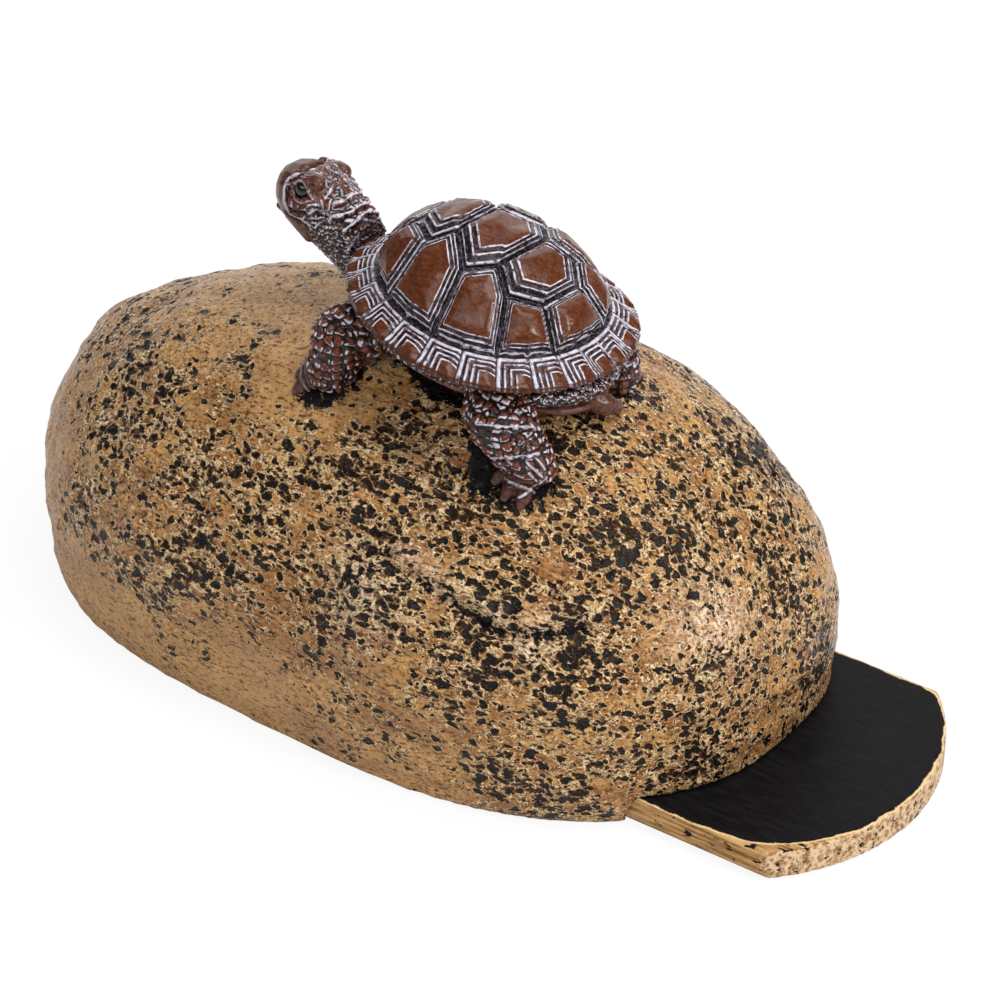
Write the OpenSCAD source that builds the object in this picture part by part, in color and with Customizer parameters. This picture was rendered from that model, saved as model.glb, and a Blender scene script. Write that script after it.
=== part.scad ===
// Turtle key hider
//
// A hollow resin stone with a key compartment in its base. A flat cover with
// a tongue along each side slides in the grooves of the stone's foot and
// shuts the compartment. A cast turtle stands on the stone's back, held by a
// peg under each foot.
//
// Millimetres, Z up, the cover pulls out along +X, the turtle looks along -X.

/* [Stone] */
// Length of the stone
stone_length = 165; // [150:1:190]
// Width of the stone
stone_width = 95; // [90:1:112]
// Height of the stone's back
stone_height = 67; // [60:1:80]
// Height of the widest girth above the ground
girth_height = 19; // [16:1:26]
// How far the foot of the stone tucks in below the girth
foot_tuck = 1.6; // [0.5:0.1:2.5]
// Shape of the blind end, 2 is an ellipse
tail_round = 1.95; // [1.8:0.05:2.3]
// Shape of the mouth end, larger is squarer
mouth_round = 2.65; // [2.4:0.05:3.2]
// Rise of the back toward the mouth end, as a share of its height
back_rise = 0.09; // [0:0.01:0.16]

/* [Key compartment] */
// Length of the compartment
pocket_length = 88; // [64:1:92]
// Height of the compartment above the cover
pocket_height = 30; // [16:1:34]
// Corner radius of the compartment
pocket_corner = 10; // [5:1:14]
// Width of the ledge that the cover runs under, all round the compartment
ledge_width = 5; // [4:0.5:8]

/* [Slide cover] */
// Width of the cover over its tongues
cover_width = 60; // [48:1:62]
// Thickness of the cover
cover_thickness = 6; // [5:0.5:8]
// Height of the lips that carry the tongues
lip_height = 1.2; // [1:0.1:2]
// Reach of the lips under the tongues
lip_reach = 1; // [0.8:0.1:2]
// How far the cover stands open
cover_open = 27; // [0:0.5:60]
// Radius of the cover's outer end
cover_end_radius = 41; // [34:1:60]

/* [Turtle shell] */
// Length of the carapace
shell_length = 56; // [48:1:60]
// Width of the carapace
shell_width = 48; // [42:1:52]
// Height of the carapace from the rim's underside
shell_height = 22; // [17:0.5:24]
// Thickness of the carapace's rim
rim_thickness = 2.6; // [2:0.1:4]
// Height of a scute's plateau above the seams
scute_relief = 1.6; // [0.8:0.1:2]
// Thickness of the belly plate
plastron_thickness = 2.2; // [1.8:0.1:3]
// Height of the flank between the belly plate and the carapace
flank_height = 4; // [3.5:0.5:6]

/* [Turtle limbs] */
// Thickness of a front leg
front_leg_size = 10; // [8:0.2:11]
// Thickness of a rear leg
rear_leg_size = 13.6; // [10:0.2:15]
// Thickness of a toe
toe_size = 4; // [3:0.2:5]
// Length of a toe with its claw
toe_length = 5; // [4:0.2:7]
// Width of the head
head_width = 12.4; // [10:0.2:14]
// Diameter of an eye
eye_size = 3.4; // [2.4:0.2:4]
// Diameter of the peg under each foot
peg_size = 4; // [3:0.2:5]
// Depth of the peg in the stone
peg_depth = 5; // [3:0.5:7]

/* [Turtle stance] */
// Place of the turtle along the stone
turtle_x = 17; // [10:0.5:24]
// Place of the turtle across the stone
turtle_y = -4.3; // [-6:0.1:0]
// Turn of the turtle away from the stone's length
turtle_turn = 4.5; // [0:0.5:10]
// How far its nose points up
nose_up = 5; // [2:0.5:8]
// How far it leans to its left
lean = -3; // [-4:0.5:4]
// Step of the right rear foot ahead of the left one
stride = 4; // [0:0.5:6]
// Height of the belly above the stone
belly_gap = 1.2; // [0.8:0.1:3]

/* [Fits] */
// Clearance all round the sliding cover
slide_gap = 0.3; // [0.2:0.05:0.6]
// Clearance in the glued joints
glue_gap = 0.15; // [0.1:0.05:0.3]

/* [Hidden] */
$fn = 64;

// Facets round the stone, and rings below and above its girth
stone_sides = 76;
foot_rings = 5;
dome_rings = 14;
// Broad swells and hollows of the stone: direction, elevation, share, spread
swells = [
    [150, 30, 0.036, 16],
    [178, 30, 0.040, 15],
    [120, 46, -0.029, 22],
    [236, 0, 0.063, 24],
    [262, 0, 0.016, 24],
    [292, 0, 0.089, 24],
    [312, 24, 0.017, 26],
    [60, 45, 0.036, 30]
];

// Cover and channel levels
ground_gap = slide_gap;
cover_top = ground_gap + cover_thickness;
channel_top = cover_top + slide_gap;
tongue_floor = lip_height + slide_gap;
keel_width = cover_width - 2 * lip_reach;
channel_back = -0.295 * stone_length;
cover_back = channel_back + slide_gap;
pocket_back = channel_back + ledge_width;
pocket_width = cover_width - 2 * ledge_width;

// Whole part centred over the ground, cover as it stands open
cover_front = stone_length / 2 - slide_gap;
reach_front = max(stone_length / 2, cover_front + cover_open);
centre_x = (reach_front - stone_length / 2) / 2;

// Stance: places of the feet in the turtle's own frame, nose along +x, left along +y
foot_front = 0.36 * shell_length;
foot_rear = -0.42 * shell_length;
foot_front_side = 0.335 * shell_width;
foot_rear_side = 0.25 * shell_width;
// Place of a rear foot along the turtle, the right one a step ahead
function rear_foot(side) = foot_rear + (side < 0 ? stride : 0);

// Levels of the turtle's body above the plane through its feet
belly_z = belly_gap;
flank_z = belly_z + plastron_thickness;
rim_z = flank_z + flank_height;

// Rings of a carapace: share of its half width where marginals meet costals
marginal_ring = 0.78;
marginals = 24;
skirt_height = 0.29 * shell_height;
// Narrowing of the carapace toward its front
shell_taper = 0.15;
// How much higher the dome stands toward its front
dome_lead = 0.3;

function mix(a, b, t) = a + (b - a) * t;
function unit(v) = v / norm(v);
function swell(u, v) = 1 + sum([for (s = swells) s[2] * exp(-pow(turn(u - s[0]) / s[3], 2)
    - pow((max(v, 0) - s[1]) / s[3], 2))]);
function sum(list, i = 0) = i == len(list) ? 0 : list[i] + sum(list, i + 1);
function turn(a) = abs(a) % 360 > 180 ? 360 - abs(a) % 360 : abs(a) % 360;

// Plan radius of the stone at angle u, as a share of its half length and half width
function stone_round(u) = mix(tail_round, mouth_round, (1 + cos(u)) / 2);
function stone_radius(u) = pow(pow(abs(cos(u)), stone_round(u)) + pow(abs(sin(u)), stone_round(u)),
    -1 / stone_round(u));

// Height of the stone's back over a point of its plan
function stone_back(x, y) = let (
    a = x / stone_length * (stone_high.x - stone_low.x) + stone_middle.x,
    b = y / stone_width * (stone_high.y - stone_low.y) + stone_middle.y,
    k = norm([a, b]) / stone_radius(atan2(b, a))
    ) (girth_height + (stone_height - girth_height) * sqrt(1 - min(0.98, k * k)) * (1 + back_rise * a))
        * stone_height / stone_high.z;

// One point of the stone: u round it, v from its foot (-90) over the girth (0) to the top (90)
function stone_point(u, v) = let (
    k = (v < 0 ? 1 - 2 * foot_tuck / stone_width * pow(-v / 90, 5) : cos(v)) * swell(u, v),
    x = k * stone_radius(u) * cos(u),
    y = k * stone_radius(u) * sin(u),
    z = v < 0 ? girth_height * (1 + v / 90)
        : girth_height + (stone_height - girth_height) * sin(v) * (1 + back_rise * x)
    ) [x, y, z];
function stone_raw() = [
    for (v = concat([for (i = [0:foot_rings - 1]) -90 * (1 - pow(i / foot_rings, 1.4))],
        [for (i = [0:dome_rings - 1]) 90 * i / dome_rings]))
        [for (i = [0:stone_sides - 1]) stone_point(360 * i / stone_sides, v)]
];

// The same points brought to the stone's exact length, width and height, then grown by a gap
stone_cloud = [for (ring = stone_raw()) each ring];
stone_low = [min([for (p = stone_cloud) p.x]), min([for (p = stone_cloud) p.y]), 0];
stone_high = [
    max([for (p = stone_cloud) p.x]),
    max([for (p = stone_cloud) p.y]),
    max([for (p = stone_cloud) p.z])
];
stone_middle = [(stone_low.x + stone_high.x) / 2, (stone_low.y + stone_high.y) / 2, 0];
function stone_fit(p, grow) = [
    (p.x - stone_middle.x) / (stone_high.x - stone_low.x) * (stone_length + 2 * grow),
    (p.y - stone_middle.y) / (stone_high.y - stone_low.y) * (stone_width + 2 * grow),
    p.z / stone_high.z * (stone_height + grow)
];

// The turtle's frame on the stone's back
turtle_at = [turtle_x, turtle_y, stone_back(turtle_x, turtle_y)];
function leaned(p) = [p.x, p.y * cos(lean) + p.z * sin(lean), p.z * cos(lean) - p.y * sin(lean)];
function raised(p) = [
    p.x * cos(nose_up) - p.z * sin(nose_up),
    p.y,
    p.x * sin(nose_up) + p.z * cos(nose_up)
];
function turned(p) = [
    -p.x * cos(turtle_turn) - p.y * sin(turtle_turn),
    p.x * sin(turtle_turn) - p.y * cos(turtle_turn),
    p.z
];
function on_back(p) = turtle_at + turned(raised(leaned(p)));

// Level of the stone below a point of the turtle's frame, closed in on in a few rounds
function stone_under(x, y, z = -5, rounds = 4) = rounds == 0 ? z
    : let (w = on_back([x, y, z])) stone_under(x, y, z + stone_back(w.x, w.y) - w.z, rounds - 1);

// Smooth run through a list of stations, each [x, y, z, radius, ...]
function curve(list, t) = let (
    n = len(list) - 1,
    i = min(n - 1, floor(t * n)),
    f = t * n - i,
    a = list[max(0, i - 1)],
    b = list[i],
    c = list[i + 1],
    d = list[min(n, i + 2)]
    ) (2 * b + (c - a) * f + (2 * a - 5 * b + 4 * c - d) * f * f + (3 * b - a - 3 * c + d) * f * f * f) / 2;
function smooth(list, steps) = [for (i = [0:steps]) curve(list, i / steps)];
function place(s) = [s[0], s[1], s[2]];

// Oval ring across the run at station i: s[3] is the half size along side, s[4] the other one
function cross_ring(run, i, side, n) = let (
    d = unit(place(run[min(len(run) - 1, i + 1)]) - place(run[max(0, i - 1)])),
    e = unit(side - d * (side * d)),
    f = cross(d, e),
    s = run[i]
    ) [for (k = [0:n - 1]) place(s) + e * s[3] * cos(360 * k / n) + f * s[4] * sin(360 * k / n)];

// Closed skin over rings of points, with a tip over the last ring if one is given
module skin(rings, tip = undef) {
    n = len(rings[0]);
    m = len(rings);
    points = [for (ring = rings) each ring];
    sides = [for (j = [0:m - 2], i = [0:n - 1]) each [
        [j * n + i, (j + 1) * n + i, (j + 1) * n + (i + 1) % n],
        [j * n + i, (j + 1) * n + (i + 1) % n, j * n + (i + 1) % n]
    ]];
    start_face = [[for (i = [0:n - 1]) i]];
    end_faces = is_undef(tip) ? [[for (i = [n - 1:-1:0]) (m - 1) * n + i]]
        : [for (i = [0:n - 1]) [(m - 1) * n + i, m * n, (m - 1) * n + (i + 1) % n]];
    polyhedron(is_undef(tip) ? points : concat(points, [tip]), concat(start_face, sides, end_faces));
}

module limb(stations, side, steps, n) {
    run = smooth(stations, steps);
    skin([for (i = [0:steps]) cross_ring(run, i, side, n)]);
}

module ball(at, r) {
    translate(at)
        sphere(r, $fn = 8);
}

// Stone

module stone_form(grow = 0) {
    skin([for (ring = stone_raw()) [for (p = ring) stone_fit(p, grow)]], stone_fit(stone_point(0, 90), grow));
}

// Section of the cover across its travel: broad tongue over a narrower keel
module slide_section(gap, floor_z) {
    polygon([
        [-keel_width / 2 - gap, floor_z],
        [keel_width / 2 + gap, floor_z],
        [keel_width / 2 + gap, tongue_floor - gap],
        [cover_width / 2 + gap, tongue_floor - gap],
        [cover_width / 2 + gap, cover_top + gap],
        [-cover_width / 2 - gap, cover_top + gap],
        [-cover_width / 2 - gap, tongue_floor - gap],
        [-keel_width / 2 - gap, tongue_floor - gap]
    ]);
}

module slide_run(back, gap, floor_z) {
    translate([back, 0, 0])
        rotate([90, 0, 90])
            linear_extrude(stone_length)
                slide_section(gap, floor_z);
}

// Outline of the cover from above: straight sides, bowed outer end
module cover_plan() {
    bow = cover_front - cover_end_radius;
    translate([bow, 0])
        circle(cover_end_radius, $fn = 180);
    translate([cover_back - 1, -cover_width])
        square([bow - cover_back + 1, 2 * cover_width]);
}

module pocket_plan() {
    square([pocket_length - 2 * pocket_corner, pocket_width], center = true);
    square([pocket_length, pocket_width - 2 * pocket_corner], center = true);
    for (x = [-1, 1], y = [-1, 1])
        translate([x * (pocket_length / 2 - pocket_corner), y * (pocket_width / 2 - pocket_corner)])
            circle(pocket_corner);
}

module pocket() {
    translate([pocket_back + pocket_length / 2, 0, cover_top])
        linear_extrude(channel_top - cover_top + pocket_height)
            pocket_plan();
}

// Frame of the turtle on the stone: nose along +x, left side along +y, the stone's back at its middle
module on_stone() {
    translate(turtle_at)
        rotate([-lean, -nose_up, 180 - turtle_turn])
            children();
}

// The part centred over the ground
module centred() {
    translate([-centre_x, 0, 0])
        children();
}

module turtle() {
    centred()
        on_stone()
            children();
}

module foot_peg(x, y, gap) {
    translate([x, y, stone_under(x, y) - peg_depth - gap])
        cylinder(d = peg_size + 2 * gap, h = peg_depth + gap + 2);
}

module stone_shell() {
    color([0.72, 0.56, 0.36])
        centred()
            difference() {
                stone_form();
                slide_run(channel_back, slide_gap, -1);
                pocket();
                on_stone() {
                    for (s = [-1, 1]) {
                        foot_peg(foot_front, s * foot_front_side, glue_gap);
                        foot_peg(rear_foot(s), s * foot_rear_side, glue_gap);
                    }
                }
            }
}

module slide_cover() {
    color([0.09, 0.09, 0.09])
        centred()
            translate([cover_open, 0, 0])
                intersection() {
                    slide_run(cover_back, 0, ground_gap);
                    linear_extrude(cover_top + 1)
                        cover_plan();
                }
}

// Carapace

// Height of the dome over the rim's underside at share f along and l across, higher toward the front
function dome(f, l) = let (r = norm([f, l])) r > marginal_ring
    ? mix(skirt_height, rim_thickness, (r - marginal_ring) / (1 - marginal_ring))
    : mix(skirt_height, shell_height - scute_relief,
        pow(1 - pow(r / marginal_ring, 2.1), 0.73) * (1 + dome_lead * f));
function shell_point(f, l) = [
    f * shell_length / 2,
    l * shell_width / 2 * (1 - shell_taper * f),
    rim_z + dome(f, l)
];
function mirrored(p) = [p.x, -p.y, p.z];

// Seams of the vertebral scutes on one side, front to rear: along, across
seam_table = [
    [0.47, 0.26],
    [0.28, 0.41],
    [0.15, 0.26],
    [-0.07, 0.47],
    [-0.23, 0.28],
    [-0.39, 0.38],
    [-0.57, 0.19]
];
function seam(i) = shell_point(seam_table[i][0], seam_table[i][1]);
function round_point(k, r) = let (
    even = (k + 0.5) * 360 / marginals,
    t = even - 1.5 * sin(even) - 5 * sin(2 * even)
    ) shell_point(r * cos(t), r * sin(t));
function ring_point(k) = k < marginals / 2 ? round_point(k, marginal_ring)
    : mirrored(round_point(marginals - 1 - k, marginal_ring));
function rim_point(k) = k < marginals / 2 ? round_point(k, 1) : mirrored(round_point(marginals - 1 - k, 1));

costals = [
    [ring_point(1), ring_point(2), ring_point(3), ring_point(4), seam(1), seam(0)],
    [ring_point(4), ring_point(5), ring_point(6), seam(3), seam(2), seam(1)],
    [ring_point(6), ring_point(7), ring_point(8), seam(5), seam(4), seam(3)],
    [ring_point(8), ring_point(9), ring_point(10), seam(6), seam(5)]
];
vertebrals = [
    [ring_point(22), ring_point(23), ring_point(0), ring_point(1), seam(0), mirrored(seam(0))],
    for (i = [0, 2, 4]) let (left = [seam(i), seam(i + 1), seam(i + 2)])
        [mirrored(left[0]), left[0], left[1], left[2], mirrored(left[2]), mirrored(left[1])],
    [mirrored(seam(6)), seam(6), ring_point(10), ring_point(11), ring_point(12), ring_point(13)]
];
large_scutes = concat(vertebrals, costals, [for (c = costals) [for (i = [len(c) - 1:-1:0]) mirrored(c[i])]]);
edge_scutes = [for (k = [0:marginals - 1]) let (j = (k + 1) % marginals)
    [ring_point(k), rim_point(k), rim_point(j), ring_point(j)]];

// Terraces of a scute, seam to plateau: share of the way to its middle, share of the relief
large_steps = [[0, 0], [0.06, 0.5], [0.2, 0.6], [0.25, 0.8], [0.38, 0.86], [0.43, 1]];
edge_steps = [[0, 0], [0.1, 0.28], [0.3, 0.34], [0.36, 0.46], [0.54, 0.5], [0.6, 0.6]];

function middle(scute) = sum_points(scute) / len(scute);
function grown_from(scute, k) = mix(middle(scute), scute[k < marginals / 2 ? 2 : 1], 0.45);
function sum_points(list, i = 0) = i == len(list) - 1 ? list[i] : list[i] + sum_points(list, i + 1);
function outward(scute) = let (m = middle(scute), n = len(scute))
    unit(sum_points([for (i = [0:n - 1]) cross(scute[i] - m, scute[(i + 1) % n] - m)]));
function scute_points(scute, steps, m) = let (up = outward(scute) * scute_relief) concat(
    [for (s = steps) each [for (p = scute) mix(p, m, s[0]) + up * s[1]]],
    [m + up * (steps[len(steps) - 1][1] + 0.08)]
);
function scute_faces(n, rings, o) = concat(
    [for (j = [0:rings - 2], i = [0:n - 1]) each [
        [o + j * n + i, o + (j + 1) * n + i, o + (j + 1) * n + (i + 1) % n],
        [o + j * n + i, o + (j + 1) * n + (i + 1) % n, o + j * n + (i + 1) % n]
    ]],
    [for (i = [0:n - 1]) [o + (rings - 1) * n + i, o + rings * n, o + (rings - 1) * n + (i + 1) % n]]
);

module carapace_form() {
    scutes = concat(
        [for (s = large_scutes) [scute_points(s, large_steps, middle(s)), len(s), len(large_steps)]],
        [for (k = [0:marginals - 1]) let (s = edge_scutes[k])
            [scute_points(s, edge_steps, grown_from(s, k)), len(s), len(edge_steps)]]
    );
    starts = [for (i = 0, o = 0; i < len(scutes); o = o + len(scutes[i][0]), i = i + 1) o];
    rim_start = starts[len(scutes) - 1] + len(scutes[len(scutes) - 1][0]);
    rim = [for (k = [0:marginals - 1]) rim_point(k)];
    edge = [for (p = rim) [p.x * 1.015, p.y * 1.015, rim_z + rim_thickness * 0.45]];
    under = [for (p = rim) [p.x * 0.97, p.y * 0.97, rim_z]];
    n = marginals;
    wall = [for (j = [0, 1], i = [0:n - 1]) each [
        [rim_start + j * n + i, rim_start + j * n + (i + 1) % n, rim_start + (j + 1) * n + (i + 1) % n],
        [rim_start + j * n + i, rim_start + (j + 1) * n + (i + 1) % n, rim_start + (j + 1) * n + i]
    ]];
    polyhedron(
        concat([for (s = scutes) each s[0]], rim, edge, under),
        concat(
            [for (i = [0:len(scutes) - 1]) each scute_faces(scutes[i][1], scutes[i][2], starts[i])],
            wall,
            [[for (i = [0:n - 1]) rim_start + 2 * n + i]]
        )
    );
}

module carapace() {
    color([0.30, 0.17, 0.13])
        turtle()
            carapace_form();
}

// Belly and flanks

function oval(half_x, half_y, z, n = 40) = [for (i = [0:n - 1])
    [half_x * cos(360 * i / n), half_y * sin(360 * i / n), z]];

module plastron_form(gap = 0) {
    half_x = 0.40 * shell_length + gap;
    half_y = 0.33 * shell_width + gap;
    skin([
        oval(half_x - 2.5, half_y - 2.5, belly_z - gap),
        oval(half_x - 0.7, half_y - 0.7, belly_z + 0.25 * plastron_thickness - gap),
        oval(half_x, half_y, belly_z + 0.6 * plastron_thickness),
        oval(half_x - 0.3, half_y - 0.3, flank_z)
    ]);
}

module trunk_form(gap = 0) {
    low = flank_z + glue_gap;
    high = rim_z - glue_gap;
    half_x = 0.41 * shell_length + gap;
    half_y = 0.40 * shell_width + gap;
    skin([
        oval(0.88 * half_x, 0.82 * half_y, low),
        oval(0.97 * half_x, 0.95 * half_y, mix(low, high, 0.3)),
        oval(half_x, half_y, mix(low, high, 0.65)),
        oval(0.98 * half_x, 0.98 * half_y, high)
    ]);
}

// Space under and over the carapace's rim that no limb enters
module carapace_space() {
    translate([0, 0, rim_z - glue_gap])
        linear_extrude(shell_height)
            polygon([for (k = [0:marginals - 1]) [rim_point(k).x, rim_point(k).y] * 1.03]);
}

// Space that the body takes from the limbs joined to it
module body_space() {
    trunk_form(glue_gap);
    plastron_form(glue_gap);
    carapace_space();
}

module plastron() {
    color([0.42, 0.27, 0.17])
        turtle()
            plastron_form();
}

module trunk() {
    color([0.24, 0.14, 0.11])
        turtle()
            trunk_form();
}

// Legs

module toe(x, y, angle, reach, thick) {
    d = [cos(angle), sin(angle)];
    joints = [for (i = [0:3]) [x, y] + d * (reach + toe_length * i / 3)];
    levels = [for (j = joints) stone_under(j.x, j.y)];
    sizes = [1, 0.95, 0.85, 0.4];
    for (i = [0:2]) {
        hull() {
            for (k = [i, i + 1])
                ball([joints[k].x, joints[k].y, levels[k] + 0.7 * thick * sizes[k]], thick * sizes[k]);
        }
    }
}

// Flesh over a run of stations, each [x, y, z, half sizes along x, y and z]
module flesh(run) {
    for (i = [0:len(run) - 2]) {
        hull() {
            for (s = [run[i], run[i + 1]])
                translate(place(s))
                    scale([s[3], s[4], s[5]])
                        sphere(1, $fn = 12);
        }
    }
}

module leg(stations, x, y, toes, size) {
    difference() {
        union() {
            flesh(smooth(stations, 6));
            for (angle = toes)
                toe(x, y, angle, 0.14 * size, toe_size / 2);
        }
        body_space();
        off_stone()
            stone_form(glue_gap);
    }
    foot_peg(x, y, 0);
}

// The stone's frame seen from the turtle's
module off_stone() {
    rotate([lean, 0, 0])
        rotate([0, nose_up, 0])
            rotate([0, 0, turtle_turn - 180])
                translate(-turtle_at)
                    children();
}

module front_leg(side) {
    r = front_leg_size / 2;
    y = side * foot_front_side;
    ground = stone_under(foot_front, y);
    stations = [
        [foot_front - 0.06 * shell_length, 0.70 * y, rim_z - 1.1 * r, r, 0.95 * r, 0.9 * r],
        [foot_front - 0.01 * shell_length, 0.88 * y, rim_z - 1.15 * r, 1.05 * r, r, r],
        [foot_front, 0.96 * y, mix(ground, rim_z, 0.5), r, 0.95 * r, 0.9 * r],
        [foot_front, y, ground + 0.6 * r, 0.95 * r, 0.9 * r, 0.6 * r],
        [foot_front + 0.12 * r, 1.02 * y, ground + 0.1 * r, r, 0.9 * r, 0.5 * r]
    ];
    leg(stations, foot_front, y, [for (i = [-1:1]) side * (20 + 26 * i)], front_leg_size);
}

module rear_leg(side) {
    r = rear_leg_size / 2;
    x = rear_foot(side);
    y = side * foot_rear_side;
    ground = stone_under(x, y);
    stations = [
        [x + 0.19 * shell_length, 0.7 * y, rim_z - 0.7 * r, 0.95 * r, 0.8 * r, 0.8 * r],
        [x + 0.155 * shell_length, 1.05 * y, rim_z - 0.8 * r, r, 0.85 * r, 0.85 * r],
        [x + 0.10 * shell_length, 1.3 * y, mix(ground, rim_z, 0.55), r, 0.8 * r, 0.8 * r],
        [x + 0.04 * shell_length, 1.22 * y, ground + 0.55 * r, 0.88 * r, 0.75 * r, 0.6 * r],
        [x + 0.01 * shell_length, 1.15 * y, ground + 0.1 * r, 0.84 * r, 0.7 * r, 0.5 * r]
    ];
    leg(stations, x, y, [for (i = [-1:1]) side * (86 + 27 * i)], rear_leg_size);
}

module front_left_leg() {
    color([0.27, 0.16, 0.13])
        turtle()
            front_leg(1);
}

module front_right_leg() {
    color([0.27, 0.16, 0.13])
        turtle()
            front_leg(-1);
}

module rear_left_leg() {
    color([0.27, 0.16, 0.13])
        turtle()
            rear_leg(1);
}

module rear_right_leg() {
    color([0.27, 0.16, 0.13])
        turtle()
            rear_leg(-1);
}

// Tail

tail_run = smooth([
    [-0.36 * shell_length, 0, rim_z - 0.8 * flank_height, 0.75 * flank_height],
    [-0.43 * shell_length, -0.01 * shell_width, rim_z - 0.95 * flank_height, 0.65 * flank_height],
    [-0.48 * shell_length, -0.04 * shell_width, rim_z - 1.25 * flank_height, 0.475 * flank_height],
    [-0.50 * shell_length, -0.09 * shell_width, rim_z - 1.5 * flank_height, 0.25 * flank_height]
], 9);

module tail() {
    color([0.27, 0.16, 0.13])
        turtle()
            difference() {
                for (i = [0:len(tail_run) - 2]) {
                    hull() {
                        ball(place(tail_run[i]), tail_run[i][3]);
                        ball(place(tail_run[i + 1]), tail_run[i + 1][3]);
                    }
                }
                body_space();
            }
}

// Head

head_r = head_width / 2;
neck_x = 0.40 * shell_length;
neck_z = rim_z - 2.2;
head_x = neck_x + 0.304 * shell_length;
head_z = rim_z + 0.286 * shell_height;

// A point of the head from its middle: forward, to one side and up, in half widths of the head
function on_head(f, side, up) = [head_x + f * head_r, side * head_r, head_z + up * head_r];
eye_at = [0.2, 0.76, 0.62];

head_stations = [
    [neck_x - 9, 0, neck_z - 1, 0.74 * head_r, 0.55 * head_r],
    [neck_x, 0, neck_z, 0.82 * head_r, 0.84 * head_r],
    [mix(neck_x, head_x, 0.38), 0, mix(neck_z, head_z, 0.37), 0.84 * head_r, 0.96 * head_r],
    [mix(neck_x, head_x, 0.70), 0, mix(neck_z, head_z, 0.73), 0.92 * head_r, 1.06 * head_r],
    concat(on_head(0, 0, 0), [head_r, 1.12 * head_r]),
    concat(on_head(0.7, 0, 0.04), [0.95 * head_r, 1.02 * head_r]),
    concat(on_head(1.18, 0, -0.04), [0.72 * head_r, 0.78 * head_r]),
    concat(on_head(1.42, 0, -0.1), [0.40 * head_r, 0.45 * head_r]),
    concat(on_head(1.5, 0, -0.12), [0.12 * head_r, 0.14 * head_r])
];

module head_plates() {
    for (s = [-1, 1]) {
        // Brow over the eye
        hull() {
            ball(on_head(eye_at.x - 0.4, s * 0.56, 0.92), 0.16 * head_r);
            ball(on_head(eye_at.x + 0.4, s * 0.56, 0.88), 0.16 * head_r);
        }
        // Cheek below and behind the eye
        hull() {
            ball(on_head(-0.35, s * 0.80, 0.25), 0.2 * head_r);
            ball(on_head(-0.2, s * 0.84, -0.25), 0.2 * head_r);
        }
        // Edge of the upper beak
        hull() {
            ball(on_head(0.1, s * 0.84, -0.35), 0.14 * head_r);
            ball(on_head(1.2, s * 0.48, -0.45), 0.12 * head_r);
        }
        // Lower jaw
        hull() {
            ball(on_head(-0.1, s * 0.6, -0.85), 0.18 * head_r);
            ball(on_head(0.95, s * 0.3, -0.75), 0.15 * head_r);
        }
    }
}

module head() {
    color([0.31, 0.18, 0.14])
        turtle()
            difference() {
                union() {
                    limb(head_stations, [0, 1, 0], 13, 14);
                    head_plates();
                }
                body_space();
                for (s = [-1, 1])
                    translate(on_head(eye_at.x, s * eye_at.y, eye_at.z))
                        sphere(d = eye_size + glue_gap, $fn = 24);
            }
}

module eyes() {
    color([0.02, 0.02, 0.02])
        turtle()
            for (s = [-1, 1])
                translate(on_head(eye_at.x, s * eye_at.y, eye_at.z))
                    sphere(d = eye_size, $fn = 22);
}

stone_shell();
slide_cover();
carapace();
plastron();
trunk();
head();
eyes();
front_left_leg();
front_right_leg();
rear_left_leg();
rear_right_leg();
tail();
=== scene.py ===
import math
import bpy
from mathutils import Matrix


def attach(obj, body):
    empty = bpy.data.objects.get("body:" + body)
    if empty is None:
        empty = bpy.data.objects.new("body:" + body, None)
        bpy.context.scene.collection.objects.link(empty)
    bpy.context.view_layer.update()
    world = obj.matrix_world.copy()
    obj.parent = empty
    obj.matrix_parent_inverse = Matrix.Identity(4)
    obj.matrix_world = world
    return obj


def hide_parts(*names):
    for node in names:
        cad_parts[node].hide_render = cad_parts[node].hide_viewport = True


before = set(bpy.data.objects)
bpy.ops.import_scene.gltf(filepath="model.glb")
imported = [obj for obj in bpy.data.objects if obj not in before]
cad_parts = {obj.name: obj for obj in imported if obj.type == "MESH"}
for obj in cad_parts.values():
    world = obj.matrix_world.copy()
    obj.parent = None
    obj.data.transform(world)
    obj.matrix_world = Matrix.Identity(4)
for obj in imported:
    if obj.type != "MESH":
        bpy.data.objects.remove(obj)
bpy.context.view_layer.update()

from types import SimpleNamespace

import bpy
import numpy as np
from mathutils import Matrix, Vector

MM = 0.001
ROOT = "stone_and_turtle"

# The turtle's own frame on the stone's back: nose along +x, left along +y, in millimetres
TURTLE_AT = np.array((3.65, -4.3, 66.42))
TURTLE_AXES = np.array(
    Matrix.Rotation(math.radians(175.5), 3, "Z")
    @ Matrix.Rotation(math.radians(-5.0), 3, "Y")
    @ Matrix.Rotation(math.radians(3.0), 3, "X"))

# Mesh size in millimetres and rounds of softening for each node
LEG_MESHING = (0.24, 6)
MESHING = {
    "stone_shell": (0.85, 6),
    "slide_cover": (0.55, 3),
    "carapace": (0.29, 10),
    "plastron": (0.4, 4),
    "eyes": (0.12, 8),
    "head": (0.2, 6),
    "trunk": (0.35, 6),
    "tail": (0.25, 6),
    "front_left_leg": LEG_MESHING,
    "front_right_leg": LEG_MESHING,
    "rear_left_leg": LEG_MESHING,
    "rear_right_leg": LEG_MESHING,
}
SOFTENING = 0.5


# Meshes

def only(obj):
    bpy.ops.object.select_all(action="DESELECT")
    obj.select_set(True)
    bpy.context.view_layer.objects.active = obj


def work_over(obj, kind, **settings):
    """Put one modifier on and apply it."""
    modifier = obj.modifiers.new(kind, kind)
    for name, value in settings.items():
        setattr(modifier, name, value)
    only(obj)
    bpy.ops.object.modifier_apply(modifier=modifier.name)


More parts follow.
